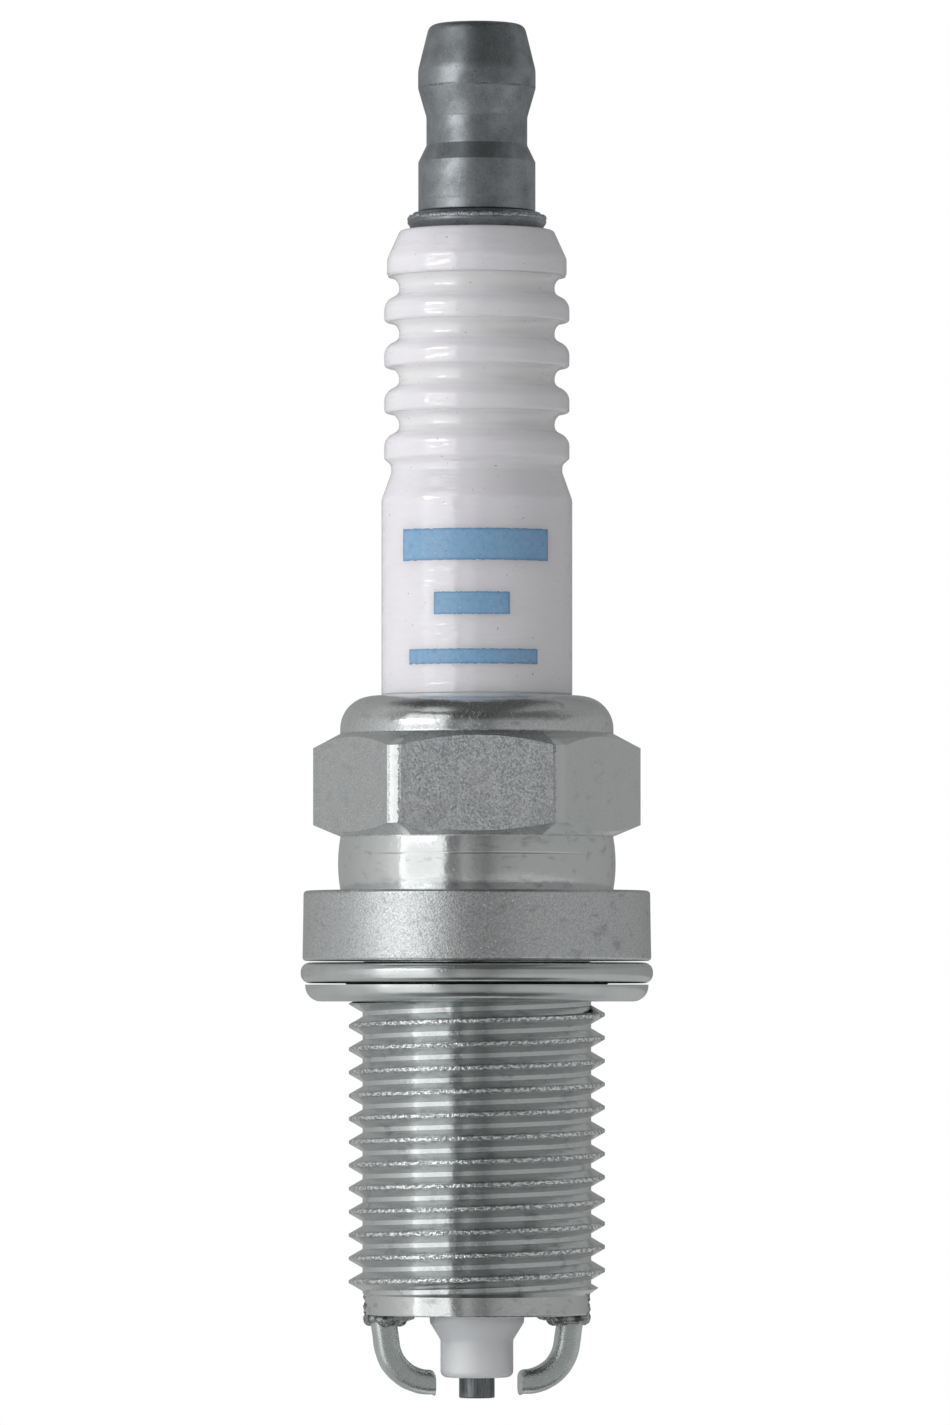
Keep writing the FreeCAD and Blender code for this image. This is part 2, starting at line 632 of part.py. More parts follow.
def make_insulator():
    body = new_body("insulator")
    leg_radius = ledge_radius - leg_gap
    turn_outline(body, "insulator_body", [
        Corner(bore_radius, insulator_top),
        Corner(half(head_diameter), insulator_top, head_round),
        Corner(half(first_rib_diameter), insulator_top - head_taper, taper_round)]
        + rib_corners() + [
        Corner(body_radius, insulator_top - body_top_drop, flare_round),
        Corner(body_radius, lip_top + glaze_end),
        Corner(post_radius, lip_top + glaze_end),
        Corner(post_radius, shoulder_cone_top),
        Corner(shoulder_radius, shoulder_top),
        Corner(shoulder_radius, shoulder_bottom),
        Corner(stem_radius, shoulder_bottom - shoulder_radius + stem_radius),
        Corner(stem_radius, ledge_level(stem_radius, packing_lift)),
        Corner(leg_radius, ledge_level(leg_radius, packing_lift)),
        Corner(half(nose_diameter), shell_end - nose_cone_drop, nose_round),
        Corner(half(nose_tip_diameter), shell_end - nose_cone_drop - nose_cone_height, nose_round),
        Corner(half(nose_tip_diameter), nose_end, nose_round),
        Corner(nose_bore_radius, nose_end),
        Corner(nose_bore_radius, bore_seat_bottom),
        Corner(bore_radius, bore_seat_top)])
    return body


# ---------------------------------------------------------------------------------------------
# Packings between insulator and shell
# ---------------------------------------------------------------------------------------------

ring_radius = half(post_radius + cavity_radius)
ring_wire = half(packing_space) - ring_gap
upper_ring_level = lip_underside - (lip_round - lip_thickness)
lower_ring_level = shoulder_cone_top - (ring_radius - post_radius) \
    + ring_wire * math.sqrt(2) + fit_gap * 2


def make_packing_ring(name, level):
    """A ring of soft steel wire."""
    body = new_body(name)
    sketch = new_sketch(body, name + "_section", "XZ_Plane")
    outline = Outline(sketch)
    outline.circle(ring_radius, level, ring_wire)
    outline.finish()
    turn_sketch(body, name + "_wire", sketch)
    return body


def make_talc():
    """Pressed talc powder between the two wire rings."""
    body = new_body("talc_filling")
    inner = post_radius + fit_gap
    outer = cavity_radius - fit_gap
    bottom = lower_ring_level + ring_wire + fit_gap
    top = upper_ring_level - ring_wire - fit_gap
    turn_outline(body, "talc_sleeve", [
        Corner(inner, top),
        Corner(outer, top),
        Corner(outer, bottom),
        Corner(inner, bottom)])
    return body


def make_seat_packing():
    """A flat sheet ring pressed to the cone between the insulator's leg and the shell's ledge."""
    body = new_body("seat_packing")
    inner = ledge_radius
    outer = stem_radius
    turn_outline(body, "seat_packing_ring", [
        Corner(inner, ledge_level(inner, fit_gap)),
        Corner(outer, ledge_level(outer, fit_gap)),
        Corner(outer, ledge_level(outer, fit_gap + packing_thickness)),
        Corner(inner, ledge_level(inner, fit_gap + packing_thickness))])
    return body


# ---------------------------------------------------------------------------------------------
# The conducting column in the insulator's bore
# ---------------------------------------------------------------------------------------------

head_radius = bore_radius - head_gap
head_foot = bore_seat_bottom + fit_gap
head_top = bore_seat_top + electrode_head_height
head_cone = head_radius - electrode_radius
core_radius = half(core_diameter)
core_bottom = electrode_end + core_end_cover
filling_radius = bore_radius - fit_gap
lower_seal_top = head_top + lower_seal_height
resistor_top = lower_seal_top + resistor_length
foot_bottom = resistor_top + upper_seal_height
foot_radius = bore_radius - foot_gap


def make_centre_electrode():
    """Nickel alloy rod with an upset head that rests on the cone of the bore."""
    body = new_body("centre_electrode")
    cone_rise = head_cone * bore_seat_height / (bore_radius - nose_bore_radius)
    turn_outline(body, "centre_electrode_rod", [
        Corner(core_radius + fit_gap, head_top),
        Corner(head_radius, head_top, head_edge_round),
        Corner(head_radius, head_foot + fit_gap + cone_rise),
        Corner(electrode_radius, head_foot + fit_gap),
        Corner(electrode_radius, electrode_end, electrode_edge_round),
        Corner(0, electrode_end),
        Corner(0, core_bottom - fit_gap),
        Corner(core_radius + fit_gap, core_bottom - fit_gap)])
    return body


def make_centre_core():
    """Copper core that carries heat up from the tip."""
    body = new_body("centre_core")
    turn_outline(body, "centre_core_rod", [
        Corner(0, head_top),
        Corner(core_radius, head_top),
        Corner(core_radius, core_bottom, core_round),
        Corner(0, core_bottom)])
    return body


def make_lower_seal():
    """Conductive glass, fused round the electrode's head."""
    body = new_body("lower_glass_seal")
    skirt = head_radius + fit_gap
    turn_outline(body, "lower_seal_plug", [
        Corner(0, lower_seal_top),
        Corner(filling_radius, lower_seal_top),
        Corner(filling_radius, head_top - seal_skirt),
        Corner(skirt, head_top - seal_skirt),
        Corner(skirt, head_top + fit_gap),
        Corner(0, head_top + fit_gap)])
    return body


def make_resistor():
    """Fused resistor that suppresses radio noise."""
    body = new_body("resistor")
    turn_outline(body, "resistor_rod", [
        Corner(0, resistor_top),
        Corner(filling_radius, resistor_top),
        Corner(filling_radius, lower_seal_top),
        Corner(0, lower_seal_top)])
    return body


def make_upper_seal():
    """Conductive glass, fused round the stud's grooved foot."""
    body = new_body("upper_glass_seal")
    skirt = foot_radius + fit_gap
    turn_outline(body, "upper_seal_plug", [
        Corner(skirt, foot_bottom + upper_seal_skirt),
        Corner(filling_radius, foot_bottom + upper_seal_skirt),
        Corner(filling_radius, resistor_top),
        Corner(0, resistor_top),
        Corner(0, foot_bottom - fit_gap),
        Corner(skirt, foot_bottom - fit_gap)])
    return body


# ---------------------------------------------------------------------------------------------
# Terminal stud and nut
# ---------------------------------------------------------------------------------------------

FOOT_GROOVES = 3


def foot_corners():
    """The stud's foot, with the ring grooves that the glass grips."""
    corners = [Corner(foot_radius, foot_bottom + foot_length)]
    for number in reversed(range(FOOT_GROOVES)):
        level = foot_bottom + foot_groove_pitch * (number + 1)
        corners += [
            Corner(foot_radius, level + foot_groove_depth),
            Corner(foot_radius - foot_groove_depth, level),
            Corner(foot_radius, level - foot_groove_depth)]
    corners.append(Corner(foot_radius, foot_bottom, foot_groove_depth))
    return corners


def make_terminal_stud():
    """Steel stud: M4 thread on top, a collar on the insulator, a shank and a grooved foot."""
    body = new_body("terminal_stud")
    crest = half(stud_thread_diameter)
    undercut = crest - stud_thread_depth - stud_undercut_relief
    undercut_top = collar_top + stud_undercut
    shank = bore_radius - stud_gap
    rim_top = insulator_top + collar_rim_level + half(collar_rim_width)
    rim_bottom = insulator_top + collar_rim_level - half(collar_rim_width)
    turn_outline(body, "stud_turned", [
        Corner(0, stud_top),
        Corner(crest - stud_chamfer, stud_top),
        Corner(crest, stud_top - stud_chamfer),
        Corner(crest, undercut_top + crest - undercut),
        Corner(undercut, undercut_top),
        Corner(undercut, collar_top),
        Corner(half(collar_top_diameter), collar_top),
        Corner(half(collar_diameter), rim_top, half(collar_rim_width)),
        Corner(half(collar_diameter), rim_bottom),
        Corner(half(collar_foot_diameter), insulator_top),
        Corner(shank, insulator_top),
        Corner(shank, foot_bottom + foot_length)]
        + foot_corners()
        + [Corner(0, foot_bottom)])
    bottom = undercut_top - half(stud_thread_pitch)
    turns = turns_between(bottom, stud_top + stud_thread_pitch, stud_thread_pitch)
    cut_thread(body, "stud_thread", crest, stud_thread_depth, stud_thread_pitch,
               stud_crest_width, bottom, turns)
    return body


def make_terminal_nut():
    """SAE terminal that a plug cap snaps on to, with a blind bore for the stud."""
    body = new_body("terminal_nut")
    head = half(nut_diameter)
    waist = half(nut_waist_diameter)
    skirt = half(nut_skirt_diameter)
    bore = half(stud_thread_diameter) + nut_bore_gap
    land_top = nut_top - nut_head_taper
    land_bottom = land_top - nut_head_land
    waist_top = land_bottom - nut_waist_cone
    waist_bottom = waist_top - nut_waist_land
    skirt_top = waist_bottom - nut_skirt_chamfer
    bore_end = nut_bottom + nut_bore_depth
    turn_outline(body, "nut_turned", [
        Corner(0, nut_top),
        Corner(half(nut_top_diameter), nut_top, nut_top_round),
        Corner(head, land_top, nut_crown_round),
        Corner(head, land_bottom, nut_head_round),
        Corner(waist, waist_top, nut_waist_round),
        Corner(waist, waist_bottom),
        Corner(skirt, skirt_top),
        Corner(skirt, nut_bottom, nut_edge_round),
        Corner(bore + nut_bore_chamfer, nut_bottom),
        Corner(bore, nut_bottom + nut_bore_chamfer),
        Corner(bore, bore_end),
        Corner(0, bore_end + nut_bore_point)])
    return body


# ---------------------------------------------------------------------------------------------
# Ground electrodes: two bent nickel wires, butt welded to the shell's end
# ---------------------------------------------------------------------------------------------

lean_sine = trigonometry("sin", wire_lean)
lean_cosine = trigonometry("cos", wire_lean)
lean_slope = trigonometry("tan", wire_lean)
wire_level = electrode_end + tip_drop + half(wire_thickness)
tip_radius = electrode_radius + spark_gap
bend_centre = tip_radius + wire_run
wire_root = pilot_radius - wire_inset - half(wire_thickness) / lean_cosine
bend_radius = (wire_root - bend_centre - (shell_end - wire_level) * lean_slope) \
    / (lean_cosine - (as_length(1) - lean_sine) * lean_slope)
leg_level = wire_level + bend_radius - bend_radius * lean_sine
leg_start = bend_centre + bend_radius * lean_cosine


def turned_about_axis(degrees):
    return FreeCAD.Placement(Vector(0, 0, 0), FreeCAD.Rotation(Vector(0, 0, 1), degrees))


def make_ground_electrode(name, degrees):
    """Sweeps the rounded wire from its end in, round its bend and up to the shell's end."""
    body = new_body(name)
    section = new_sketch(body, name + "_section", "YZ_Plane", tip_radius)
    outline = Outline(section)
    side = half(wire_width)
    thick = half(wire_thickness)
    outline.closed([
        Corner(side, wire_level - thick, wire_edge_round),
        Corner(side, wire_level + thick, wire_edge_round),
        Corner(-side, wire_level + thick, wire_edge_round),
        Corner(-side, wire_level - thick, wire_edge_round)])
    outline.finish()

    leg_top = shell_end + wire_thickness
    tip = Corner(tip_radius, wire_level)
    bend_start = Corner(bend_centre, wire_level)
    bend_end = Corner(leg_start, leg_level)
    leg_end = Corner(leg_start + (leg_top - leg_level) * lean_slope, leg_top)
    half_turn = math.radians(90 - wire_lean.number) / 2
    bend_middle = bend_start.point + Vector(math.sin(half_turn), 1 - math.cos(half_turn), 0) \
        * bend_radius.number

    path = new_sketch(body, name + "_path", "XZ_Plane")
    run = path.addGeometry(Part.LineSegment(tip.point, bend_start.point))
    bend = path.addGeometry(Part.Arc(bend_start.point, bend_middle, bend_end.point))
    leg = path.addGeometry(Part.LineSegment(bend_end.point, leg_end.point))
    line = Outline(path)
    line.pin(run, 1, tip)
    line.pin(run, 2, bend_start)
    line.pin(leg, 1, bend_end)
    line.pin(leg, 2, leg_end)
    first_end = line.end_at(bend, bend_start.point)
    line.constraints += [
        Sketcher.Constraint("Tangent", run, 2, bend, first_end),
        Sketcher.Constraint("Coincident", bend, 3 - first_end, leg, 1)]
    line.finish()

    wire = body.newObject("PartDesign::AdditivePipe", name + "_wire")
    wire.Profile = section
    wire.Spine = (path, ["Edge1", "Edge2", "Edge3"])
    wire.Mode = "Standard"

    trim = new_sketch(body, name + "_trim", "XY_Plane", shell_end)
    outline = Outline(trim)
    outline.circle(0, 0, thread_radius * PAST_THE_PIECE)
    outline.finish()
    cut = body.newObject("PartDesign::Pocket", name + "_root")
    cut.Profile = trim
    cut.Reversed = True
    cut.setExpression("Length", (wire_thickness * PAST_THE_PIECE).text)

    body.Placement = turned_about_axis(degrees)
    return body


LUMP_SWELL = 0.16  # how much the lumps differ in size on the two sides of the wire
LUMP_RIPPLE = 0.1  # how much neighbouring lumps differ
LUMP_DROP = 0.55  # middle of a lump below the shell's end, as a share of its radius


def make_weld(name, degrees, electrode):
    """The upset bead of a butt weld: a ring of small lumps round the wire, under the shell."""
    reach_out = half(wire_thickness).number + bead_spread.number
    reach_side = half(wire_width).number + bead_spread.number
    count = int(bead_count.number)
    lumps = []
    for number in range(count):
        angle = 2 * math.pi * number / count
        swell = 1 + LUMP_SWELL * math.sin(5 * angle + 1) + LUMP_RIPPLE * math.sin(3 * angle)
        radius = bead_radius.number * swell
        oval = rounded_square(angle)
        centre = Vector(wire_root.number + reach_out * math.cos(angle) * oval,
                        reach_side * math.sin(angle) * oval,
                        shell_end.number - radius * LUMP_DROP)
        lumps.append(Part.makeSphere(radius, centre))
    bead = lumps[0].fuse(lumps[1:])
    above = Part.makeCylinder(thread_diameter.number, wire_thickness.number,
                              Vector(0, 0, shell_end.number))
    bead = bead.cut(above)
    bead.Placement = turned_about_axis(degrees)
    bead = bead.cut(electrode.Shape)
    weld = doc.addObject("Part::Feature", name)
    weld.Label = name
    weld.Shape = bead
    return weld


def rounded_square(angle):
    """Distance to a squarish oval's edge, so that the lumps follow the wire's section."""
    return 1 / (abs(math.cos(angle)) ** 4 + abs(math.sin(angle)) ** 4) ** 0.25


# ---------------------------------------------------------------------------------------------
# The plug
# ---------------------------------------------------------------------------------------------

pieces = [
    make_shell(),
    make_gasket(),
    make_insulator(),
    make_packing_ring("upper_packing_ring", upper_ring_level),
    make_talc(),
    make_packing_ring("lower_packing_ring", lower_ring_level),
    make_seat_packing(),
    make_centre_electrode(),
    make_centre_core(),
    make_lower_seal(),
    make_resistor(),
    make_upper_seal(),
    make_terminal_stud(),
    make_terminal_nut()]

right = make_ground_electrode("ground_electrode_right", wire_turn.number)
left = make_ground_electrode("ground_electrode_left", wire_turn.number + 180)
doc.recompute()
pieces += [
    right,
    left,
    make_weld("weld_right", wire_turn.number, right),
    make_weld("weld_left", wire_turn.number + 180, left)]
doc.recompute()

for item in doc.Objects:
    if "Invalid" in item.State or "Error" in item.State:
        raise RuntimeError(f"{item.Name} failed: {item.State}")
for piece in pieces:
    if piece.Shape.isNull() or not piece.Shape.isValid():
        raise RuntimeError(f"{piece.Label} has no valid shape")
for piece in pieces:
    piece.Shape.exportStep(os.path.join("parts", f"{piece.Label}.step"))
    box = piece.Shape.BoundBox
    print(f"{piece.Label}: {len(piece.Shape.Solids)} solid, {piece.Shape.Volume:.2f} mm3, "
          f"z {box.ZMin:.2f} to {box.ZMax:.2f}, {box.XLength:.2f} x {box.YLength:.2f}")
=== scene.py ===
import math
import random

import bmesh
import bpy
from mathutils import Matrix, Vector, noise


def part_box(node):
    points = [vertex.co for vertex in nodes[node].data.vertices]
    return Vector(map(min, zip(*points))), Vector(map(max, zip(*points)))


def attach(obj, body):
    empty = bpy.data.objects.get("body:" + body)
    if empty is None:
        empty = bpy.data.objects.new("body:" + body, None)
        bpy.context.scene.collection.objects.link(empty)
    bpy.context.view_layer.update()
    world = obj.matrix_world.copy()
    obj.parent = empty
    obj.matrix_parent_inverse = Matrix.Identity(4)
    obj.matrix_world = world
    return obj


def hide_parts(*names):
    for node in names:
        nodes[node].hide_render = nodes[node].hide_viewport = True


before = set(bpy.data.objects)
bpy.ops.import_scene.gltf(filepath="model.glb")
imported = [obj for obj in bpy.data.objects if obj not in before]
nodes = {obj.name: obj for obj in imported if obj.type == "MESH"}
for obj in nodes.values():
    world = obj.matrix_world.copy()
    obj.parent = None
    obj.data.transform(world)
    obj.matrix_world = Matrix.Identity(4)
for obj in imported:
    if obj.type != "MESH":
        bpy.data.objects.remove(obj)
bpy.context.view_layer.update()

# A spark plug, dressed from the firing end upwards: the imported solids give every piece its place.
# Meshes are worked out in millimetres and made in metres, with +Z up the plug's axis.


# ------------------------------------------------------------------------------------------
# Shell: one cold-forged and turned steel body under a thin nickel-zinc plating. The hexagon
# and the flange keep the grain of the forging, the lip and the groove were rolled smooth by
# the crimping tools, and the rolled thread has slightly torn crests. The crests' colour holds
# painted glints, near-white spots with darker painted shade between them.
# ------------------------------------------------------------------------------------------

def colour(red, green, blue):
    """A colour as it is seen, 0 to 255, as the shader wants it."""
    def linear(part):
        part /= 255
        return part / 12.92 if part <= 0.04045 else ((part + 0.055) / 1.055) ** 2.4
    return linear(red), linear(green), linear(blue), 1.0


def levels(node):
    """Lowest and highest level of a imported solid, in millimetres."""
    low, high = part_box(node)
    return low.z * 1000, high.z * 1000


class Finish:
    """One material, built up node by node over places given in millimetres."""

    def __init__(self, name, metallic, roughness):
        self.material = bpy.data.materials.new(name)
        self.material.use_nodes = True
        self.tree = self.material.node_tree
        self.shader = self.tree.nodes["Principled BSDF"]
        self.shader.inputs["Metallic"].default_value = metallic
        self.shader.inputs["Roughness"].default_value = roughness
        metres = self.add("ShaderNodeTexCoord").outputs["Object"]
        scale = self.add("ShaderNodeVectorMath", operation="SCALE")
        scale.inputs["Scale"].default_value = 1000
        self.tree.links.new(metres, scale.inputs[0])
        self.place = scale.outputs[0]
        parts = self.add("ShaderNodeSeparateXYZ")
        self.tree.links.new(self.place, parts.inputs[0])
        self.x, self.y, self.level = parts.outputs
        self.radius = self.sum("SQRT", self.sum(
            "ADD", self.times(self.x, self.x), self.times(self.y, self.y)))

    def add(self, kind, **settings):
        node = self.tree.nodes.new(kind)
        for setting, value in settings.items():
            setattr(node, setting, value)
        return node

    def give(self, socket, value):
        """Sets an input to a number or colour, or links it to another node's output."""
        if isinstance(value, bpy.types.NodeSocket):
            self.tree.links.new(value, socket)
        else:
            socket.default_value = value

    def sum(self, operation, first, second=0.0, clamped=False):
        node = self.add("ShaderNodeMath", operation=operation, use_clamp=clamped)
        self.give(node.inputs[0], first)
        self.give(node.inputs[1], second)
        return node.outputs[0]

    def times(self, *factors):
        """The product of some values, such as one pattern kept to where another is."""
        product = factors[0]
        for factor in factors[1:]:
            product = self.sum("MULTIPLY", product, factor)
        return product

    def pile(self, *layers):
        """Patterns of 0 to 1 laid on each other, each given with its height in millimetres."""
        total = 0.0
        for pattern, height in layers:
            total = self.sum("ADD", total, self.times(pattern, height))
        return total

    def turn(self):
        """Degrees about the axis, none at the front and growing to the right."""
        forward = self.times(self.y, -1.0)
        return self.times(self.sum("ARCTAN2", self.x, forward), math.degrees(1))

    def grain(self, size, stretch=(1, 1, 1), detail=2.0, roughness=0.5, tilt=0.0):
        """Noise whose grains are about that many millimetres wide, longer where stretch is more."""
        mapping = self.add("ShaderNodeMapping", vector_type="TEXTURE")
        self.give(mapping.inputs["Vector"], self.place)
        mapping.inputs["Scale"].default_value = [size * part for part in stretch]
        mapping.inputs["Rotation"].default_value = (0, math.radians(tilt), math.radians(tilt))
        texture = self.add("ShaderNodeTexNoise")
        self.give(texture.inputs["Vector"], mapping.outputs[0])
        texture.inputs["Scale"].default_value = 1
        texture.inputs["Detail"].default_value = detail
        texture.inputs["Roughness"].default_value = roughness
        return texture.outputs["Fac"]

    def map(self, value, low, high, to_low=0.0, to_high=1.0):
        """A value's stretch from low to high, made to run from one number to another."""
        node = self.add("ShaderNodeMapRange")
        for number, part in enumerate((value, low, high, to_low, to_high)):
            self.give(node.inputs[number], part)
        return node.outputs[0]

    def steps(self, value, stops):
        """A value looked up in (place, number) stops, with straight runs between them."""
        low, high = stops[0][0], stops[-1][0]
        top = max(number for _, number in stops)
        ramp = self.add("ShaderNodeValToRGB")
        self.give(ramp.inputs[0], self.map(value, low, high))
        points = ramp.color_ramp.elements
        while len(points) < len(stops):
            points.new(1.0)
        for point, (place, number) in zip(points, stops):
            point.position = (place - low) / (high - low)
            point.color = (number / top,) * 3 + (1.0,)
        return self.times(ramp.outputs[0], top)

    def spot(self, place, reach):
        """One at a place on the piece, falling to nothing at that reach in millimetres."""
        offset = self.add("ShaderNodeVectorMath", operation="DISTANCE")
        self.give(offset.inputs[0], self.place)
        offset.inputs[1].default_value = place
        return self.map(offset.outputs["Value"], reach, reach * 0.3)

    def mix(self, share, first, second):
        node = self.add("ShaderNodeMix", data_type="RGBA", clamp_factor=True)
        self.give(node.inputs[0], share)
        self.give(node.inputs[6], first)
        self.give(node.inputs[7], second)
        return node.outputs[2]

    def bump(self, height):
        """Raises the surface by a height in millimetres."""
        node = self.add("ShaderNodeBump")
        node.inputs["Distance"].default_value = 0.001
        self.give(node.inputs["Height"], height)
        self.give(self.shader.inputs["Normal"], node.outputs[0])

    def set(self, **inputs):
        for name, value in inputs.items():
            self.give(self.shader.inputs[name.replace("_", " ")], value)

    def show(self, node):
        """Lets another shader node than the usual one make the surface."""
        output = next(end for end in self.tree.nodes if end.type == "OUTPUT_MATERIAL")
        self.give(output.inputs["Surface"], node.outputs[0])

    def coat_node(self, node):
        """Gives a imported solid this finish."""
        for slot in nodes[node].material_slots:
            slot.material = self.material


SHELL_END, LIP_TOP = levels("shell")
LIP_HEIGHT = 2.03
HEX_HEIGHT = 5.54
GROOVE_HEIGHT = 2.91
FLANGE_HEIGHT = 3.79
PILOT_LENGTH = 1.05
HEX_TOP = LIP_TOP - LIP_HEIGHT
HEX_BOTTOM = HEX_TOP - HEX_HEIGHT
FLANGE_TOP = HEX_BOTTOM - GROOVE_HEIGHT
SEAT = FLANGE_TOP - FLANGE_HEIGHT
PILOT_TOP = SHELL_END + PILOT_LENGTH
EDGE = 0.04

THREAD_CREST = 6.9
TORN_FROM, TORN_FULLY = THREAD_CREST - 0.15, THREAD_CREST - 0.09
CREASE_LEVEL = HEX_BOTTOM - 0.96
CREASE_HALF_WIDTH = 0.06
SCRATCH_TILTS = (38, -27)
CORNER_TURN = 30.0
CORNER_POLISH, POLISH_FADES_OVER = 1.7, 0.5

FORGED_BY_LEVEL = [
    (SHELL_END, 0.15), (PILOT_TOP - EDGE, 0.15), (PILOT_TOP, 0.2), (SEAT - EDGE, 0.2),
    (SEAT, 0.55), (FLANGE_TOP - EDGE, 0.55), (FLANGE_TOP, 0.08), (HEX_BOTTOM - EDGE, 0.08),
    (HEX_BOTTOM, 1.0), (HEX_TOP - EDGE, 1.0), (HEX_TOP, 0.3), (LIP_TOP, 0.3)]
# Grain share of each hexagon face by its turn. Through the dull colour it also makes each face
# lighter or darker: painted light and shade for how the light falls on that face.
FORGED_AND_SHADED_BY_FACE = [
    (-180, 0.8), (-150.1, 0.8), (-149.9, 0.5), (-90.1, 0.5), (-89.9, 0.45), (-30.1, 0.45),
    (-29.9, 1.0), (29.9, 1.0), (30.1, 0.2), (89.9, 0.2), (90.1, 0.7), (149.9, 0.7),
    (150.1, 0.8), (180, 0.8)]

FORGED_DEPTH = 0.055
TURNED_DEPTH = 0.0018
PATCH_DEPTH = 0.03
CREASE_DEPTH = 0.012
SCRATCH_DEPTH = 0.016
TEAR_HEIGHT = 0.10

plating = colour(221, 224, 223)
plating_dull = colour(158, 161, 168)
plating_stained = colour(153, 155, 155)
# Painted glint and painted shade for the thread's crests.
plating_painted_crest_glint = colour(246, 248, 248)
plating_painted_crest_shade = colour(178, 182, 183)


def shell_finish():
    finish = Finish("nickel_plated_steel", 1.0, 0.25)
    fine = finish.grain(0.10, detail=4.0, roughness=0.7)
    torn = finish.grain(0.17, stretch=(1.3, 1.3, 0.8), detail=2.0, roughness=0.6)
    turned = finish.grain(0.12, stretch=(14, 14, 0.6), detail=2.0)
    patches = finish.grain(1.4, detail=3.0)

    turn = finish.turn()
    on_hexagon = finish.times(finish.map(finish.level, HEX_BOTTOM - EDGE, HEX_BOTTOM),
                              finish.map(finish.level, HEX_TOP, HEX_TOP - EDGE))
    from_corner = finish.sum("ABSOLUTE", finish.sum(
        "SUBTRACT", finish.sum("PINGPONG", turn, 2 * CORNER_TURN), CORNER_TURN))
    ragged_edge = finish.map(fine, 0.3, 0.7, -0.8, 0.8)
    polished = finish.map(finish.sum("ADD", from_corner, ragged_edge),
                          CORNER_POLISH + POLISH_FADES_OVER, CORNER_POLISH)
    face_grain_and_shade = finish.times(finish.steps(turn, FORGED_AND_SHADED_BY_FACE),
                              finish.map(polished, 0.0, 1.0, 1.0, 0.1),
                              finish.map(patches, 0.35, 0.65, 0.75, 1.1))
    forged = finish.times(finish.steps(finish.level, FORGED_BY_LEVEL),
                          finish.map(on_hexagon, 0.0, 1.0, 1.0, face_grain_and_shade))

    crest = finish.times(finish.map(finish.radius, TORN_FROM, TORN_FULLY),
                         finish.map(finish.level, SEAT, SEAT - EDGE))
    scratches = finish.sum("ADD", *[
        finish.map(finish.grain(0.05, stretch=(1, 1, 40), detail=1.0, tilt=tilt), 0.70, 0.76)
        for tilt in SCRATCH_TILTS])
    from_crease = finish.sum("ABSOLUTE", finish.sum("SUBTRACT", finish.level, CREASE_LEVEL))
    crease = finish.map(from_crease, CREASE_HALF_WIDTH, 0.0)
    finish.bump(finish.pile(
        (finish.times(fine, forged, forged), FORGED_DEPTH), (turned, TURNED_DEPTH),
        (patches, PATCH_DEPTH), (crease, -CREASE_DEPTH),
        (finish.times(scratches, forged), -SCRATCH_DEPTH),
        (finish.times(crest, torn), TEAR_HEIGHT)))

    stains = finish.times(
        finish.map(finish.grain(0.8, stretch=(1.3, 1.3, 0.7), detail=4.0), 0.58, 0.72),
        finish.map(on_hexagon, 0.0, 1.0, 0.5, 0.2))
    # On the hexagon the forged share also paints each face lighter or darker by its turn: painted
    # light and shade.
    skin = finish.mix(finish.times(forged, finish.map(fine, 0.40, 0.62)), plating, plating_dull)
    skin = finish.mix(stains, skin, plating_stained)
    # Painted glints on the crests: near-white spots stand in for reflections, with darker painted
    # shade between them.
    ragged = finish.mix(finish.map(torn, 0.45, 0.53), plating_painted_crest_shade, plating_painted_crest_glint)
    finish.set(Base_Color=finish.mix(crest, skin, ragged),
               Roughness=finish.sum("ADD", finish.map(forged, 0.50, 1.0, 0.13, 0.38),
                                    finish.map(patches, 0.35, 0.7, -0.02, 0.04)))
    return finish


shell_finish().coat_node("shell")


# ------------------------------------------------------------------------------------------
# Gasket: a strip of thin plated sheet steel, folded under itself and rolled, loose under the
# flange. The rolling left it smooth, with long faint marks round it.
# ------------------------------------------------------------------------------------------

def gasket_finish():
    finish = Finish("rolled_sheet_steel", 1.0, 0.24)
    drawn = finish.grain(0.1, stretch=(20, 20, 0.7), detail=3.0)
    pits = finish.map(finish.grain(0.22, detail=2.0), 0.66, 0.74)
    finish.bump(finish.pile((drawn, 0.003), (pits, -0.004)))
    finish.set(Base_Color=finish.mix(finish.grain(1.8), plating, colour(199, 206, 205)),
               Roughness=finish.map(drawn, 0.3, 0.7, 0.17, 0.27))
    return finish


gasket_finish().coat_node("gasket")


# ------------------------------------------------------------------------------------------
# Insulator: one body of fired alumina, ground to its ribs and glazed down to the shell. The
# glaze is glossy over faint grinding marks. The nose at the firing end stays bare and matte.
# ------------------------------------------------------------------------------------------

GLAZE_END = LIP_TOP + 0.06
RIB_CURVE_RADIUS, RIB_GROOVE_RADIUS = 4.9, 4.3
FIRST_GROOVE_TOP = levels("insulator")[1] - 2.2
FIRST_GROOVE_EDGE = 0.3


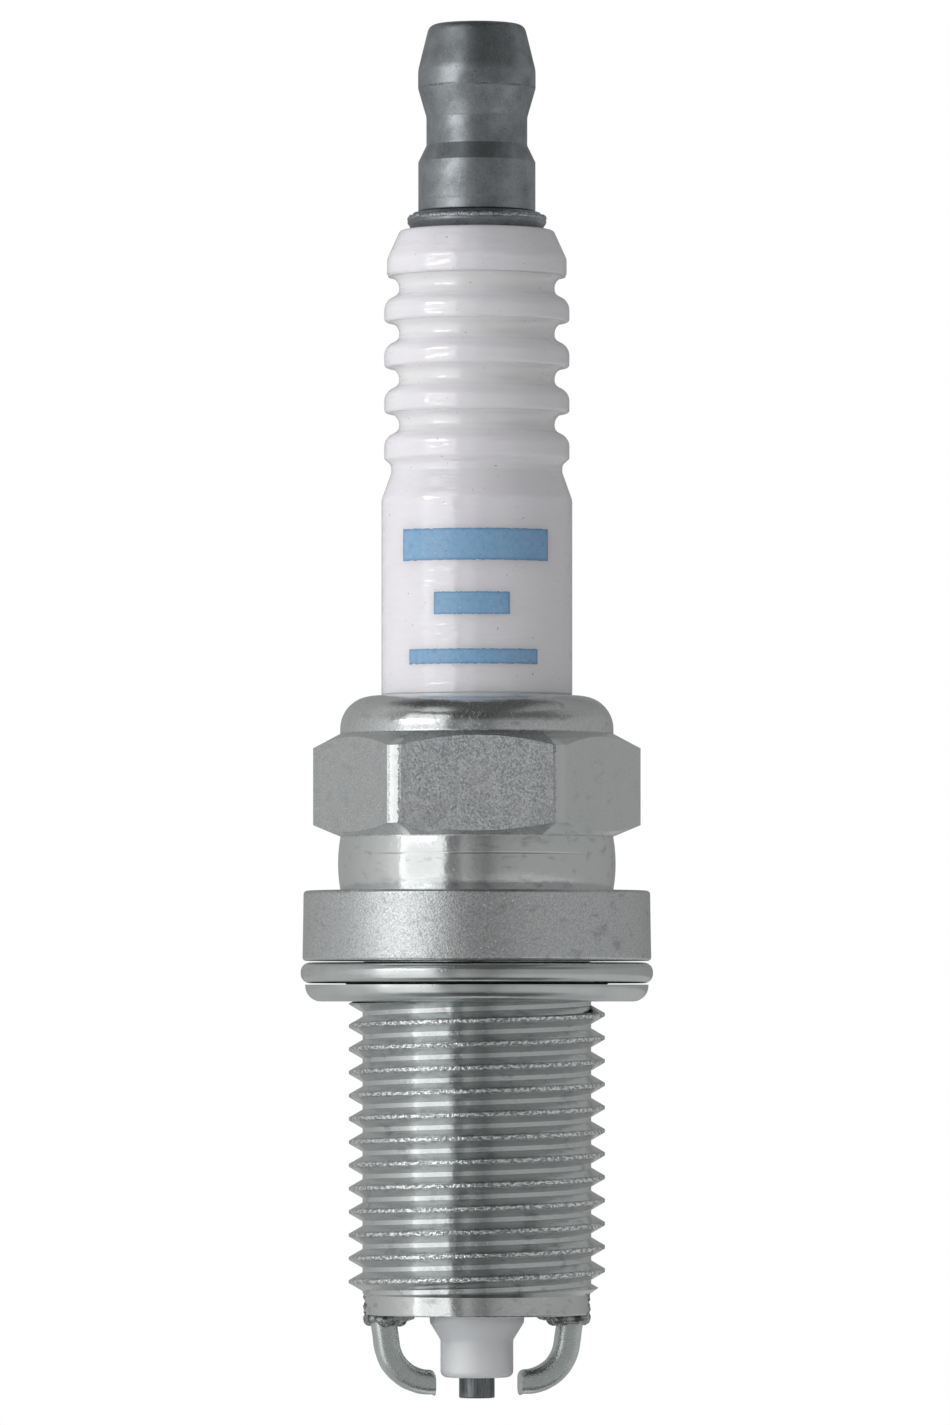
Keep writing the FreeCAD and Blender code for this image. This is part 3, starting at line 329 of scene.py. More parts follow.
def insulator_finish():
    finish = Finish("glazed_alumina", 0.0, 0.16)
    bare = finish.map(finish.level, GLAZE_END + EDGE, GLAZE_END)
    glazed = finish.sum("SUBTRACT", 1.0, bare)
    ripple = finish.grain(0.5, stretch=(4, 4, 0.8), detail=2.0)
    orange_peel = finish.grain(0.5, detail=1.0)
    chalk = finish.grain(0.06, detail=2.0)
    finish.bump(finish.pile((finish.times(ripple, glazed), 0.060),
                            (finish.times(orange_peel, glazed), 0.012),
                            (finish.times(chalk, bare), 0.006)))
    specks = finish.times(glazed, finish.map(finish.grain(0.17, detail=0.0), 0.835, 0.86))
    in_rib_groove = finish.times(
        glazed, finish.map(finish.radius, RIB_CURVE_RADIUS, RIB_GROOVE_RADIUS),
        finish.map(finish.level, FIRST_GROOVE_TOP, FIRST_GROOVE_TOP - FIRST_GROOVE_EDGE))
    white = finish.mix(finish.grain(2.5), colour(235, 233, 239), colour(240, 238, 242))
    white = finish.mix(in_rib_groove, white, colour(235, 235, 236))
    body = finish.mix(bare, white, colour(230, 233, 236))
    finish.set(Base_Color=finish.mix(finish.times(specks, 0.55), body, colour(120, 112, 108)),
               Roughness=finish.map(bare, 0.0, 1.0, 0.12, 0.5), IOR=1.7, Specular_IOR_Level=1.0,
               Subsurface_Weight=0.6, Subsurface_Scale=0.0018)
    finish.shader.inputs["Subsurface Radius"].default_value = (1.0, 0.98, 0.95)
    return finish


insulator_finish().coat_node("insulator")


# ------------------------------------------------------------------------------------------
# Printed marks: three plain stripes of blue ceramic ink, rolled on the glaze and fired with
# it. The ink is thinner in the middle and darker where it gathered at the edges.
# ------------------------------------------------------------------------------------------

BODY_RADIUS = 5.15
INK_THICKNESS = 0.008
INK_EDGE = 0.12
INK_UNEVENNESS = 0.05
STRIPES = [(18.05, 18.85, -44.5, 39.0), (20.7, 21.9, -26.5, 20.0), (23.6, 25.3, -50.0, 47.5)]
STRIPE_ROWS, STRIPE_COLUMNS = 10, 96


def make_piece(name, form, finish, turn=0.0):
    """Turns a form in millimetres about the axis and makes it a smooth piece in metres."""
    form.transform(Matrix.Rotation(turn, 4, "Z") @ Matrix.Scale(0.001, 4))
    bmesh.ops.recalc_face_normals(form, faces=form.faces)
    for face in form.faces:
        face.smooth = True
    mesh = bpy.data.meshes.new(name)
    form.to_mesh(mesh)
    form.free()
    mesh.materials.append(finish.material)
    piece = bpy.data.objects.new(name, mesh)
    bpy.context.scene.collection.objects.link(piece)
    return piece


def ink_finish():
    finish = Finish("blue_ceramic_ink", 0.0, 0.3)
    mottle = finish.grain(0.3, detail=4.0, roughness=0.7)
    pinholes = finish.map(finish.grain(0.09, detail=1.0), 0.68, 0.74)
    edge = finish.tree.nodes.new("ShaderNodeAttribute")
    edge.attribute_name = "gathered"
    blue = finish.mix(finish.map(mottle, 0.3, 0.7), colour(116, 162, 201), colour(136, 177, 210))
    blue = finish.mix(edge.outputs["Fac"], blue, colour(92, 140, 184))
    finish.set(Base_Color=finish.mix(finish.times(pinholes, 0.5), blue, colour(214, 222, 232)),
               Roughness=finish.map(mottle, 0.3, 0.7, 0.24, 0.4))
    finish.bump(finish.times(mottle, 0.004))
    return finish


def make_stripe(number, bottom, top, start, end, finish):
    """A thin curved patch on the insulator, its outline a little uneven."""
    form = bmesh.new()
    gathered = form.verts.layers.float.new("gathered")
    radius = BODY_RADIUS + INK_THICKNESS
    columns = []
    for step in range(STRIPE_COLUMNS + 1):
        turn = math.radians(start + (end - start) * step / STRIPE_COLUMNS)
        from_end = (min(step, STRIPE_COLUMNS - step) / STRIPE_COLUMNS
                    * math.radians(end - start) * BODY_RADIUS)
        column = []
        for part in range(STRIPE_ROWS + 1):
            share = part / STRIPE_ROWS
            level = bottom + (top - bottom) * share
            if share in (0, 1):
                level += INK_UNEVENNESS * noise.noise((step * 0.35, share * 2, number * 9.0))
            point = form.verts.new((radius * math.sin(turn), -radius * math.cos(turn), level))
            from_edge = min(share, 1 - share) * (top - bottom)
            point[gathered] = max(0.0, 1 - min(from_edge, from_end) / INK_EDGE)
            column.append(point)
        columns.append(column)
    for column, beyond in zip(columns, columns[1:]):
        for part in range(STRIPE_ROWS):
            form.faces.new((column[part], beyond[part], beyond[part + 1], column[part + 1]))
    piece = make_piece(f"printed_stripe_{number}", form, finish)
    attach(piece, "plug")


ink = ink_finish()
for number, stripe in enumerate(STRIPES, 1):
    make_stripe(number, *stripe, ink)


# ------------------------------------------------------------------------------------------
# Packings and talc between insulator and shell: two rings of soft steel wire, the pressed
# talc powder between them and the flat sheet ring on the shell's ledge.
# ------------------------------------------------------------------------------------------

def packing_finish():
    finish = Finish("soft_steel", 1.0, 0.38)
    drawn = finish.grain(0.08, stretch=(10, 10, 1), detail=2.0)
    finish.bump(finish.times(drawn, 0.004))
    finish.set(Base_Color=finish.mix(finish.grain(0.6), colour(150, 148, 144),
                                     colour(122, 118, 112)),
               Roughness=finish.map(drawn, 0.3, 0.7, 0.3, 0.46))
    return finish


def talc_finish():
    finish = Finish("pressed_talc", 0.0, 0.85)
    crumbs = finish.grain(0.12, detail=4.0, roughness=0.7)
    finish.bump(finish.times(crumbs, 0.03))
    finish.set(Base_Color=finish.mix(crumbs, colour(205, 200, 188), colour(232, 229, 220)))
    return finish


packing = packing_finish()
for ring in ("upper_packing_ring", "lower_packing_ring", "seat_packing"):
    packing.coat_node(ring)
talc_finish().coat_node("talc_filling")


# ------------------------------------------------------------------------------------------
# Conducting column in the bore: a nickel alloy electrode with a copper core, conductive glass
# fused round its head, the resistor, and glass again round the foot of the terminal stud.
# ------------------------------------------------------------------------------------------

def electrode_finish():
    finish = Finish("drawn_nickel_alloy", 1.0, 0.34)
    streaks = finish.grain(0.07, stretch=(1, 1, 14), detail=3.0, roughness=0.65)
    clouds = finish.grain(0.5, detail=2.0)
    finish.bump(finish.times(streaks, 0.02))
    skin = finish.mix(clouds, colour(118, 122, 124), colour(142, 146, 148))
    finish.set(Base_Color=finish.mix(finish.map(streaks, 0.52, 0.68), skin,
                                     colour(84, 86, 86)),
               Roughness=finish.map(streaks, 0.3, 0.7, 0.26, 0.42))
    return finish


def core_finish():
    finish = Finish("copper_core", 1.0, 0.3)
    drawn = finish.grain(0.06, stretch=(1, 1, 12), detail=2.0)
    finish.bump(finish.times(drawn, 0.003))
    finish.set(Base_Color=finish.mix(finish.grain(0.8), colour(206, 132, 100),
                                     colour(178, 104, 78)))
    return finish


def seal_finish():
    finish = Finish("copper_glass", 0.0, 0.45)
    grains = finish.grain(0.1, detail=3.0, roughness=0.7)
    finish.bump(finish.times(grains, 0.02))
    finish.set(Base_Color=finish.mix(finish.map(grains, 0.45, 0.6), colour(70, 58, 50),
                                     colour(136, 96, 70)))
    return finish


def resistor_finish():
    finish = Finish("carbon_glass", 0.0, 0.6)
    grains = finish.grain(0.14, detail=3.0, roughness=0.7)
    finish.bump(finish.times(grains, 0.02))
    finish.set(Base_Color=finish.mix(finish.map(grains, 0.4, 0.62), colour(38, 38, 40),
                                     colour(88, 88, 90)))
    return finish


electrode_finish().coat_node("centre_electrode")
core_finish().coat_node("centre_core")
resistor_finish().coat_node("resistor")
seal = seal_finish()
for plug_of_glass in ("lower_glass_seal", "upper_glass_seal"):
    seal.coat_node(plug_of_glass)


# ------------------------------------------------------------------------------------------
# Terminal stud and nut: the stud is cemented in the bore and its collar sits on the insulator;
# the turned nut screws down on its M4 thread, and the plug cap's clip snaps into the waist.
# Both are steel with a dull dark plating, speckled by tumbling.
# ------------------------------------------------------------------------------------------

NUT_BOTTOM, NUT_TOP = levels("terminal_nut")
TOOL_MARKS = [(3.45, 0.08, 1.0), (5.05, 0.03, 0.35), (9.55, 0.03, 0.4)]
TOOL_MARK_DEPTH = 0.012


def terminal_finish():
    """Dark metal, with marks of the tool at (drop from the top, half their width, strength). The
    marks' dark colour is painted shade along their lines.
    """
    finish = Finish("dark_plated_steel", 1.0, 0.34)
    turned = finish.grain(0.1, stretch=(14, 14, 0.6), detail=2.0)
    speckle = finish.grain(0.1, detail=4.0, roughness=0.7)
    clouds = finish.grain(1.3, detail=3.0)
    ragged = finish.sum("ADD", finish.level, finish.map(speckle, 0.3, 0.7, -0.05, 0.05))
    tool_marks_and_painted_shade = 0.0
    for drop, half_width, strength in TOOL_MARKS:
        away = finish.sum("ABSOLUTE", finish.sum("SUBTRACT", ragged, NUT_TOP - drop))
        tool_marks_and_painted_shade = finish.sum("ADD", tool_marks_and_painted_shade, finish.map(
            away, half_width, half_width * 0.3, 0.0, strength))
    tool_marks_and_painted_shade = finish.times(tool_marks_and_painted_shade, finish.map(clouds, 0.45, 0.6))
    finish.bump(finish.pile((turned, TURNED_DEPTH), (speckle, 0.008),
                            (tool_marks_and_painted_shade, -TOOL_MARK_DEPTH)))
    skin = finish.mix(finish.map(clouds, 0.36, 0.64), colour(137, 142, 145),
                      colour(163, 168, 171))
    skin = finish.mix(finish.map(speckle, 0.58, 0.66), skin, colour(178, 182, 184))
    skin = finish.mix(finish.map(speckle, 0.40, 0.34), skin, colour(112, 116, 118))
    # The marks' dark colour is painted shade along these lines, over their real shallow grooves.
    finish.set(Base_Color=finish.mix(finish.times(tool_marks_and_painted_shade, 0.5), skin, colour(70, 73, 74)),
               Roughness=finish.map(clouds, 0.36, 0.64, 0.46, 0.35))
    return finish


terminal = terminal_finish()
for part in ("terminal_stud", "terminal_nut"):
    terminal.coat_node(part)


# ------------------------------------------------------------------------------------------
# Burr on the collar: the rough edge that the nut's seat pressed up round itself when the nut
# was screwed down on the stud's collar.
# ------------------------------------------------------------------------------------------

BURR_RADIUS = 3.56
BURR_SIZE = 0.2
BURR_FLATNESS = 0.9
BURR_LEVEL = NUT_BOTTOM - 0.36
BURR_SWELLS = [(2.3, 0.09), (6.0, 0.06)]
BURR_STEPS, BURR_SIDES = 240, 10


def join_rings(rings, capped=True):
    """A tube through rings of points, with the same number of points in each."""
    form = bmesh.new()
    rows = [[form.verts.new(point) for point in ring] for ring in rings]
    for row, beyond in zip(rows, rows[1:]):
        for number in range(len(row)):
            after = (number + 1) % len(row)
            form.faces.new((row[number], row[after], beyond[after], beyond[number]))
    if capped:
        form.faces.new(rows[0])
        form.faces.new(rows[-1])
    return form


def burr_finish():
    finish = Finish("torn_plated_steel", 1.0, 0.22)
    torn = finish.grain(0.12, detail=4.0, roughness=0.7)
    finish.bump(finish.times(torn, 0.06))
    # Light spots in the colour are painted glints on the torn metal.
    finish.set(Base_Color=finish.mix(finish.map(torn, 0.42, 0.6), colour(136, 140, 144),
                                     colour(218, 222, 224)))
    return finish


def make_burr(finish):
    """A ring round the collar that swells by (waves in a millimetre, height) here and there."""
    rings = []
    for step in range(BURR_STEPS):
        turn = math.tau * step / BURR_STEPS
        way = Vector((math.cos(turn), math.sin(turn), 0))
        ring = []
        for part in range(BURR_SIDES):
            angle = math.tau * part / BURR_SIDES
            point = way * (BURR_RADIUS + BURR_SIZE * math.cos(angle))
            point.z = BURR_LEVEL + BURR_SIZE * BURR_FLATNESS * math.sin(angle)
            swell = sum(noise.noise(point * waves) * height for waves, height in BURR_SWELLS)
            point += way * math.cos(angle) * swell * 0.4
            point.z += math.sin(angle) * swell
            ring.append(point)
        rings.append(ring)
    form = join_rings(rings + [rings[0]], capped=False)
    bmesh.ops.remove_doubles(form, verts=form.verts, dist=0.0001)
    piece = make_piece("collar_burr", form, finish)
    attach(piece, "plug")


make_burr(burr_finish())


# ------------------------------------------------------------------------------------------
# Ground electrodes: two pieces of flat nickel alloy wire, butt welded to the shell's end and
# bent round to face the centre electrode. The shears rounded the upper edge of each tip and
# left a small burr under it.
# ------------------------------------------------------------------------------------------

WIRE_THICKNESS = 1.33
WIRE_WIDTH = 2.2
WIRE_SQUARENESS = 3.7
TIP_RADIUS = 2.33
BEND_START = 2.6
BEND_RADIUS = 2.3
LEG_LEAN = math.radians(8)
SHEARED_LENGTH = 0.42
SHEARED_DROP = 0.30
BURR_UNDER_TIP = 0.07
WAVE_HEIGHT = 0.02
WAVE_PLACE = {"right": 3.0, "left": 11.0}
ELECTRODE_TURN = math.radians(7)
TURN_ABOUT_AXIS = {"right": ELECTRODE_TURN, "left": math.pi + ELECTRODE_TURN}
TIP_STATIONS, BEND_STATIONS, LEG_STATIONS = 8, 28, 8
WIRE_SIDES = 72


def ground_finish():
    """Satin drawn wire, with fine lines along it and a few painted glints."""
    finish = Finish("bent_nickel_wire", 1.0, 0.3)
    fine = finish.grain(0.07, detail=3.0, roughness=0.65)
    dents = finish.grain(0.45, detail=2.0)
    finish.bump(finish.pile((fine, 0.018), (dents, 0.02)))
    # Painted glints: near-white spots in the colour stand in for highlights.
    glints = finish.map(fine, 0.62, 0.70)
    skin = finish.mix(finish.grain(0.9), colour(201, 209, 207), colour(222, 228, 226))
    finish.set(Base_Color=finish.mix(glints, skin, colour(246, 248, 248)),
               Roughness=finish.map(fine, 0.3, 0.7, 0.21, 0.35))
    return finish


def wire_stations(level):
    """Middle, outward direction and length from the tip, all along the wire to the shell."""
    stations = []
    run = BEND_START - TIP_RADIUS
    for number in range(TIP_STATIONS + 1):
        share = (number / TIP_STATIONS) ** 2
        stations.append((Vector((TIP_RADIUS + share * run, 0, level)), Vector((0, 0, -1)),
                         SHEARED_LENGTH * share))
    for number in range(1, BEND_STATIONS + 1):
        angle = (math.pi / 2 - LEG_LEAN) * number / BEND_STATIONS
        outward = Vector((math.sin(angle), 0, -math.cos(angle)))
        middle = Vector((BEND_START, 0, level + BEND_RADIUS)) + outward * BEND_RADIUS
        stations.append((middle, outward, SHEARED_LENGTH + angle * BEND_RADIUS))
    start, outward, from_tip = stations[-1]
    leg = Vector((math.sin(LEG_LEAN), 0, math.cos(LEG_LEAN)))
    length = (SHELL_END - start.z) / leg.z
    for number in range(1, LEG_STATIONS + 1):
        along = length * number / LEG_STATIONS
        stations.append((start + leg * along, outward, from_tip + along))
    return stations


def squared(reach):
    """Moves a sine or cosine out towards the sides of a square with rounded corners."""
    return math.copysign(abs(reach) ** (2 / WIRE_SQUARENESS), reach)


def make_ground_electrode(side, finish):
    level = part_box("ground_electrode_" + side)[0].z * 1000 + WIRE_THICKNESS / 2
    across = Vector((0, 1, 0))
    rings = []
    for middle, outward, from_tip in wire_stations(level):
        shear = max(0.0, 1 - from_tip / SHEARED_LENGTH)
        inner_drop = SHEARED_DROP * (1 - math.sqrt(max(0.0, 1 - shear ** 2)))
        burr = BURR_UNDER_TIP * shear ** 4
        ring = []
        for number in range(WIRE_SIDES):
            angle = math.tau * number / WIRE_SIDES
            outer = squared(math.sin(angle))
            reach_out = outer * WIRE_THICKNESS / 2
            reach_out += inner_drop * max(0.0, -outer) + burr * max(0.0, outer) ** 6
            reach_side = squared(math.cos(angle)) * WIRE_WIDTH / 2
            point = middle + outward * reach_out + across * reach_side
            wave = noise.noise(point * 1.7 + Vector((WAVE_PLACE[side], 0, 0))) * WAVE_HEIGHT
            ring.append(point + outward * wave)
        rings.append(ring)
    form = join_rings(rings)
    name = "ground_electrode_" + side
    piece = make_piece("bent_wire_" + side, form, finish, TURN_ABOUT_AXIS[side])
    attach(piece, "plug")
    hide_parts(name)
    return piece


ground = ground_finish()
for side in ("left", "right"):
    make_ground_electrode(side, ground)


# ------------------------------------------------------------------------------------------
# Weld flash: the metal that the butt weld squeezed out round the foot of each electrode. It
# set in shiny lumps under the shell's end, and a little of it splashed up the shell's side.
# ------------------------------------------------------------------------------------------

WIRE_FOOT = 5.11
FLASH_VOXEL = 0.055
FLASH_LUMPS = 26
FLASH_INWARDS = 0.12
FLASH_SPREAD, FLASH_SPREAD_MORE = 0.10, 0.06
LUMP_RADIUS, LUMP_RADIUS_MORE = 0.24, 0.17
LUMP_DROP, LUMP_DROP_MORE = 0.55, 0.1
LUMP_RIPPLES = [(4.5, 0.035), (11, 0.0175)]
SPLASHES = 14
SPLASH_PLACE = 5.93
SPLASH_SPREAD = math.radians(9)
SPLASH_BOTTOM, SPLASH_TOP = SHELL_END - 0.1, SHELL_END + 1.15
SPLASH_RADIUS, SPLASH_RADIUS_MORE = 0.11, 0.12


def weld_finish():
    finish = Finish("weld_flash", 1.0, 0.16)
    fine = finish.grain(0.2, detail=4.0, roughness=0.7)
    finish.bump(finish.times(fine, 0.05))
    scale_on_it = finish.map(finish.grain(0.35, detail=3.0), 0.5, 0.62)
    finish.set(Base_Color=finish.mix(scale_on_it, colour(176, 180, 178), colour(100, 102, 100)),
               Roughness=finish.map(scale_on_it, 0.0, 1.0, 0.14, 0.34))
    return finish


def melted_together(lumps, voxel):
    """Balls of (middle, radius), run into one skin as melted metal does."""
    balls = bmesh.new()
    for middle, radius in lumps:
        made = bmesh.ops.create_icosphere(balls, subdivisions=2, radius=radius)
        bmesh.ops.translate(balls, verts=made["verts"], vec=middle)
    mesh = bpy.data.meshes.new("lumps")
    balls.to_mesh(mesh)
    balls.free()
    lump = bpy.data.objects.new("lumps", mesh)
    bpy.context.scene.collection.objects.link(lump)
    remesh = lump.modifiers.new("one_skin", "REMESH")
    remesh.mode = "VOXEL"
    remesh.voxel_size = voxel
    smooth = lump.modifiers.new("run_together", "SMOOTH")
    smooth.factor = 0.5
    smooth.iterations = 4
    form = bmesh.new()
    form.from_object(lump, bpy.context.evaluated_depsgraph_get())
    bpy.data.objects.remove(lump)
    bpy.data.meshes.remove(mesh)
    return form


def make_weld_flash(side, finish):
    chance = random.Random(len(side) * 7)
    lumps = []
    for number in range(FLASH_LUMPS):
        angle = math.tau * number / FLASH_LUMPS
        oval = (abs(math.cos(angle)) ** 4 + abs(math.sin(angle)) ** 4) ** -0.25
        spread = FLASH_SPREAD + FLASH_SPREAD_MORE * chance.random()
        out = (WIRE_THICKNESS / 2 + spread) * math.cos(angle) * oval - FLASH_INWARDS
        sideways = (WIRE_WIDTH / 2 + spread) * math.sin(angle) * oval
        radius = LUMP_RADIUS + LUMP_RADIUS_MORE * chance.random()
        drop = radius * LUMP_DROP + LUMP_DROP_MORE * chance.random()
        lumps.append((Vector((WIRE_FOOT + out, sideways, SHELL_END - drop)), radius))
        if math.cos(angle) < -0.3:
            inwards = 0.3 + 0.4 * chance.random()
            lumps.append((Vector((WIRE_FOOT + out - inwards, sideways, SHELL_END - 0.05)),
                          radius * 0.8))
    for number in range(SPLASHES):
        turn = SPLASH_SPREAD * (2 * chance.random() - 1) - ELECTRODE_TURN
        level = SPLASH_BOTTOM + (SPLASH_TOP - SPLASH_BOTTOM) * number / (SPLASHES - 1)
        radius = SPLASH_RADIUS + SPLASH_RADIUS_MORE * chance.random()
        lumps.append((Vector((SPLASH_PLACE * math.cos(turn), SPLASH_PLACE * math.sin(turn),
                              level)), radius))
    form = melted_together(lumps, FLASH_VOXEL)
    for point in form.verts:
        point.co += point.normal * sum(noise.noise(point.co * waves) * height
                                       for waves, height in LUMP_RIPPLES)
    piece = make_piece("weld_flash_" + side, form, finish, TURN_ABOUT_AXIS[side])
    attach(piece, "plug")
    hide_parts("weld_" + side)


weld = weld_finish()
for side in ("left", "right"):
    make_weld_flash(side, weld)


# ------------------------------------------------------------------------------------------
# Studio: a pale floor and a wide tent of white cloth with a lid, brighter on the left. A soft
# box and a narrow strip light stand on the left of the camera, whose long lens stands level
# with the flange and looks up a little to the plug's middle.
# ------------------------------------------------------------------------------------------

FLOOR_LEVEL = -0.045
FLOOR_HALF_WIDTH = 6.0
FLOOR_WHITE_FROM, FLOOR_WHITE_TO = 120, 430
FLOOR_WHITE_NEAR = 0.5

TENT_RADIUS = 0.34
TENT_TOP = 0.36
TENT_SIDES = 72
CLOTH_BRIGHTNESS = [
    (-180, 0.33), (-166, 0.36), (-157, 0.40), (-128, 0.46), (-100, 0.56), (-84, 0.66),
    (-70, 0.84), (-64, 0.50), (-58, 0.15), (-40, 0.10), (-24, 0.24), (-17, 0.21),
    (-10, 0.42), (-3, 0.29), (8, 0.20), (18, 0.32), (32, 0.38), (60, 0.40), (90, 0.39),
    (120, 0.38), (140, 0.35), (156, 0.29), (168, 0.29), (180, 0.30)]
CLOTH_FADES_FROM, CLOTH_FADES_TO = 95, 190
CLOTH_UPPER_SHARE = [
    (-180, 0.95), (-100, 0.95), (-72, 0.35), (64, 0.35), (96, 0.8), (180, 0.95)]
DAYLIGHT_ON_CLOTH = [
    (-180, 0.7), (-120, 1.25), (-90, 2.0), (-50, 1.65), (-20, 0.75), (10, 0.52), (90, 0.64),
    (180, 0.7)]
DAYLIGHT_BY_LEVEL = [(-45, 1.45), (20, 1.3), (120, 0.7), (360, 0.4)]

CARD_RADII = (0.012, 0.335)
CARD_LEVEL = FLOOR_LEVEL + 0.0005
CARD_BRIGHTNESS = [
    (-180, 0.43), (-100, 0.54), (-74, 0.58), (-68, 1.0), (-30, 1.0), (-22, 0.29), (-17, 0.26),
    (-10, 0.48), (-3, 0.36), (8, 0.25), (18, 0.43), (32, 0.5), (60, 0.54), (140, 0.5),
    (180, 0.43)]
CARD_NEAR, CARD_FAR = 38, 58
CARD_NEAR_SHARE = [
    (-180, 0.8), (-84, 0.8), (-62, 0.2), (62, 0.2), (84, 0.8), (180, 0.8)]

LID_BRIGHTNESS_BACKWARDS = [(-340, 0.10), (100, 0.10), (230, 0.30), (340, 0.45)]
LID_BRIGHTNESS_SIDEWAYS = [
    (-340, 0.5), (-260, 0.33), (-205, 0.10), (165, 0.10), (215, 0.26), (340, 0.36)]
LID_SPOT_PLACE = (-230, -190, 360)
LID_SPOT_REACH = 165
LID_SPOT_BRIGHTNESS = 0.75

OPEN_AIR_BRIGHTNESS = 0.12

CAMERA_DISTANCE = 0.52
CAMERA_LEVEL = 0.0
CAMERA_AIM = Vector((-0.0001, 0, 0.01558))
WIDTH_IN_VIEW = 0.07682
SENSOR_WIDTH = 36


def add_to_studio(name, data):
    thing = bpy.data.objects.new(name, data)
    bpy.context.scene.collection.objects.link(thing)
    return thing


def floor_finish():
    """Pale card near the plug, where its shadow falls, that turns to plain white further off."""
    finish = Finish("pale_floor", 0.0, 0.9)
    weave = finish.grain(0.8, detail=2.0)
    finish.set(Base_Color=finish.mix(weave, (0.83, 0.83, 0.83, 1), (0.87, 0.87, 0.87, 1)))
    path = finish.add("ShaderNodeLightPath")
    seen = finish.sum("ADD", path.outputs["Is Camera Ray"], path.outputs["Is Glossy Ray"])
    seen = finish.sum("ADD", seen, path.outputs["Is Transmission Ray"], clamped=True)
    share = finish.times(seen, finish.map(
        finish.radius, FLOOR_WHITE_FROM, FLOOR_WHITE_TO, FLOOR_WHITE_NEAR, 1.0))
    white = finish.add("ShaderNodeEmission")
    blend = finish.add("ShaderNodeMixShader")
    finish.give(blend.inputs[0], share)
    finish.give(blend.inputs[1], finish.shader.outputs[0])
    finish.give(blend.inputs[2], white.outputs[0])
    finish.show(blend)
    return finish


def make_floor():
    mesh = bpy.data.meshes.new("floor")
    side = FLOOR_HALF_WIDTH
    corners = [(-side, -side), (side, -side), (side, side), (-side, side)]
    mesh.from_pydata([(x, y, FLOOR_LEVEL) for x, y in corners], [], [(0, 1, 2, 3)])
    mesh.materials.append(floor_finish().material)
    add_to_studio("floor", mesh)


def ring_round_plug(radius, level):
    turns = [math.tau * number / TENT_SIDES for number in range(TENT_SIDES)]
    return [(radius * math.sin(turn), -radius * math.cos(turn), level) for turn in turns]


def hang_cloth(name, rings, finish, brightness):
    """Hangs glowing cloth between two rings or over one. The camera looks through it."""
    if len(rings) == 1:
        faces = [range(TENT_SIDES)]
    else:
        faces = [(number, (number + 1) % TENT_SIDES,
                  TENT_SIDES + (number + 1) % TENT_SIDES, TENT_SIDES + number)
                 for number in range(TENT_SIDES)]
    mesh = bpy.data.meshes.new(name)
    mesh.from_pydata([point for ring in rings for point in ring], [], faces)
    mesh.materials.append(finish.material)
    glow = finish.add("ShaderNodeEmission")
    finish.give(glow.inputs["Strength"], brightness)
    finish.show(glow)
    cloth = add_to_studio(name, mesh)
    cloth.visible_camera = False
    cloth.visible_shadow = False
    return cloth


def make_tent():
    """The walls. Mirrors and gloss show their brightness, and daylight through them lights
    what is matte."""
    finish = Finish("tent_cloth", 0.0, 0.9)
    turn = finish.turn()
    fade = finish.map(finish.level, CLOTH_FADES_FROM, CLOTH_FADES_TO, 1.0,
                      finish.steps(turn, CLOTH_UPPER_SHARE))
    mirrored = finish.times(fade, finish.steps(turn, CLOTH_BRIGHTNESS))
    daylight = finish.times(finish.steps(turn, DAYLIGHT_ON_CLOTH),
                            finish.steps(finish.level, DAYLIGHT_BY_LEVEL))
    matte = finish.add("ShaderNodeLightPath").outputs["Is Diffuse Ray"]
    rings = [ring_round_plug(TENT_RADIUS, level) for level in (FLOOR_LEVEL, TENT_TOP)]
    hang_cloth("tent", rings, finish, finish.map(matte, 0.0, 1.0, mirrored, daylight))


def make_card():
    """A ring of cloth laid on the floor, which only mirrors and gloss show."""
    finish = Finish("card_cloth", 0.0, 0.9)
    turn = finish.turn()
    near = finish.map(finish.radius, CARD_NEAR, CARD_FAR, finish.steps(turn, CARD_NEAR_SHARE), 1.0)
    rings = [ring_round_plug(radius, CARD_LEVEL) for radius in CARD_RADII]
    card = hang_cloth("card", rings, finish,
                      finish.times(near, finish.steps(turn, CARD_BRIGHTNESS)))
    card.visible_diffuse = False


def make_lid():
    """A grey cloth over the tent, which only mirrors and gloss show."""
    finish = Finish("lid_cloth", 0.0, 0.9)
    brightness = finish.sum("MAXIMUM", finish.steps(finish.y, LID_BRIGHTNESS_BACKWARDS),
                            finish.steps(finish.x, LID_BRIGHTNESS_SIDEWAYS))
    spot = finish.times(finish.spot(LID_SPOT_PLACE, LID_SPOT_REACH), LID_SPOT_BRIGHTNESS)
    lid = hang_cloth("lid", [ring_round_plug(TENT_RADIUS, TENT_TOP)], finish,
                     finish.sum("MAXIMUM", brightness, spot))
    lid.visible_diffuse = False


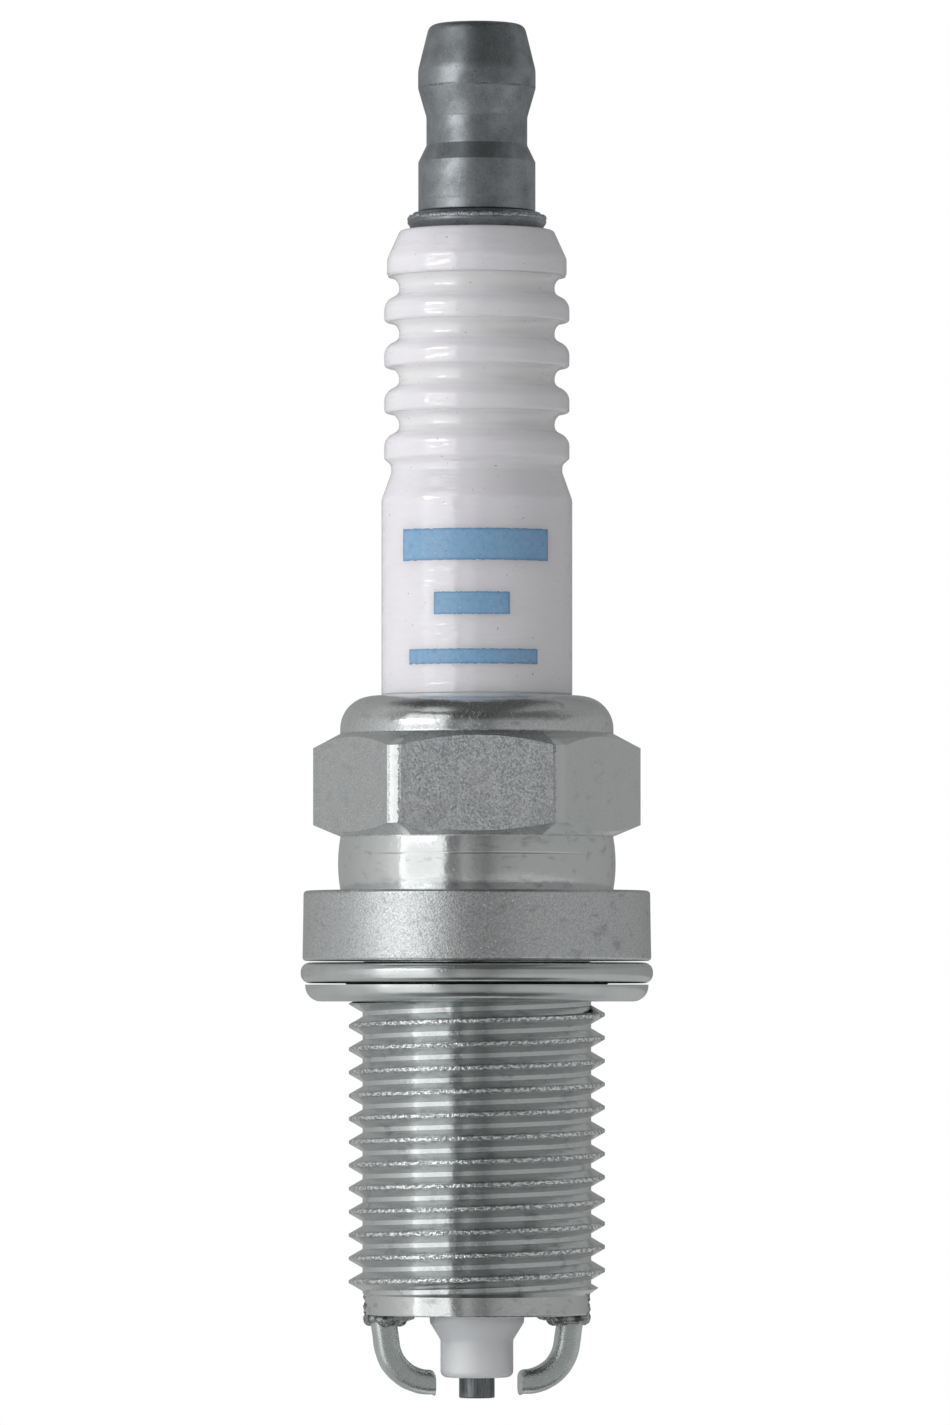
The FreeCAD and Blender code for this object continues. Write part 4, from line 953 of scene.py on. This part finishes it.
def make_lamp(name, turn, distance, level, width, height, brightness):
    """A flat lamp that faces the plug's axis, turned about it from the front."""
    turn = math.radians(turn)
    light = bpy.data.lights.new(name, "AREA")
    light.shape = "RECTANGLE"
    light.size = width
    light.size_y = height
    light.energy = brightness * math.pi * width * height
    lamp = add_to_studio(name, light)
    lamp.location = (distance * math.sin(turn), -distance * math.cos(turn), level)
    lamp.rotation_euler = (math.radians(90), 0, turn)


def make_world():
    """White wherever the camera or a reflection looks past the tent, and dimmer as a lamp."""
    world = bpy.data.worlds.new("studio")
    world.use_nodes = True
    tree = world.node_tree
    background = tree.nodes["Background"]
    background.inputs["Color"].default_value = (1, 1, 1, 1)
    path = tree.nodes.new("ShaderNodeLightPath")
    seen = tree.nodes.new("ShaderNodeMath")
    seen.operation = "ADD"
    tree.links.new(path.outputs["Is Camera Ray"], seen.inputs[0])
    tree.links.new(path.outputs["Is Glossy Ray"], seen.inputs[1])
    any_seen = tree.nodes.new("ShaderNodeMath")
    any_seen.operation = "ADD"
    tree.links.new(seen.outputs[0], any_seen.inputs[0])
    tree.links.new(path.outputs["Is Transmission Ray"], any_seen.inputs[1])
    strength = tree.nodes.new("ShaderNodeMapRange")
    strength.inputs["To Min"].default_value = OPEN_AIR_BRIGHTNESS
    strength.inputs["To Max"].default_value = 1.0
    tree.links.new(any_seen.outputs[0], strength.inputs["Value"])
    tree.links.new(strength.outputs[0], background.inputs["Strength"])
    bpy.context.scene.world = world


def make_camera():
    lens = bpy.data.cameras.new("camera")
    lens.sensor_width = SENSOR_WIDTH
    lens.lens = SENSOR_WIDTH * CAMERA_DISTANCE / WIDTH_IN_VIEW
    lens.clip_start = 0.05
    lens.clip_end = 20
    camera = add_to_studio("camera", lens)
    camera.location = (CAMERA_AIM.x, -CAMERA_DISTANCE, CAMERA_LEVEL)
    camera.rotation_euler = (CAMERA_AIM - camera.location).to_track_quat("-Z", "Y").to_euler()
    bpy.context.scene.camera = camera


make_floor()
make_tent()
make_card()
make_lid()
make_lamp("soft_box", turn=-47, distance=0.30, level=0.105, width=0.22, height=0.30,
          brightness=1.0)
make_lamp("light_strip", turn=-52, distance=0.28, level=0.102, width=0.16, height=0.026,
          brightness=3.5)
make_world()
make_camera()
bpy.context.scene.view_settings.view_transform = "Standard"
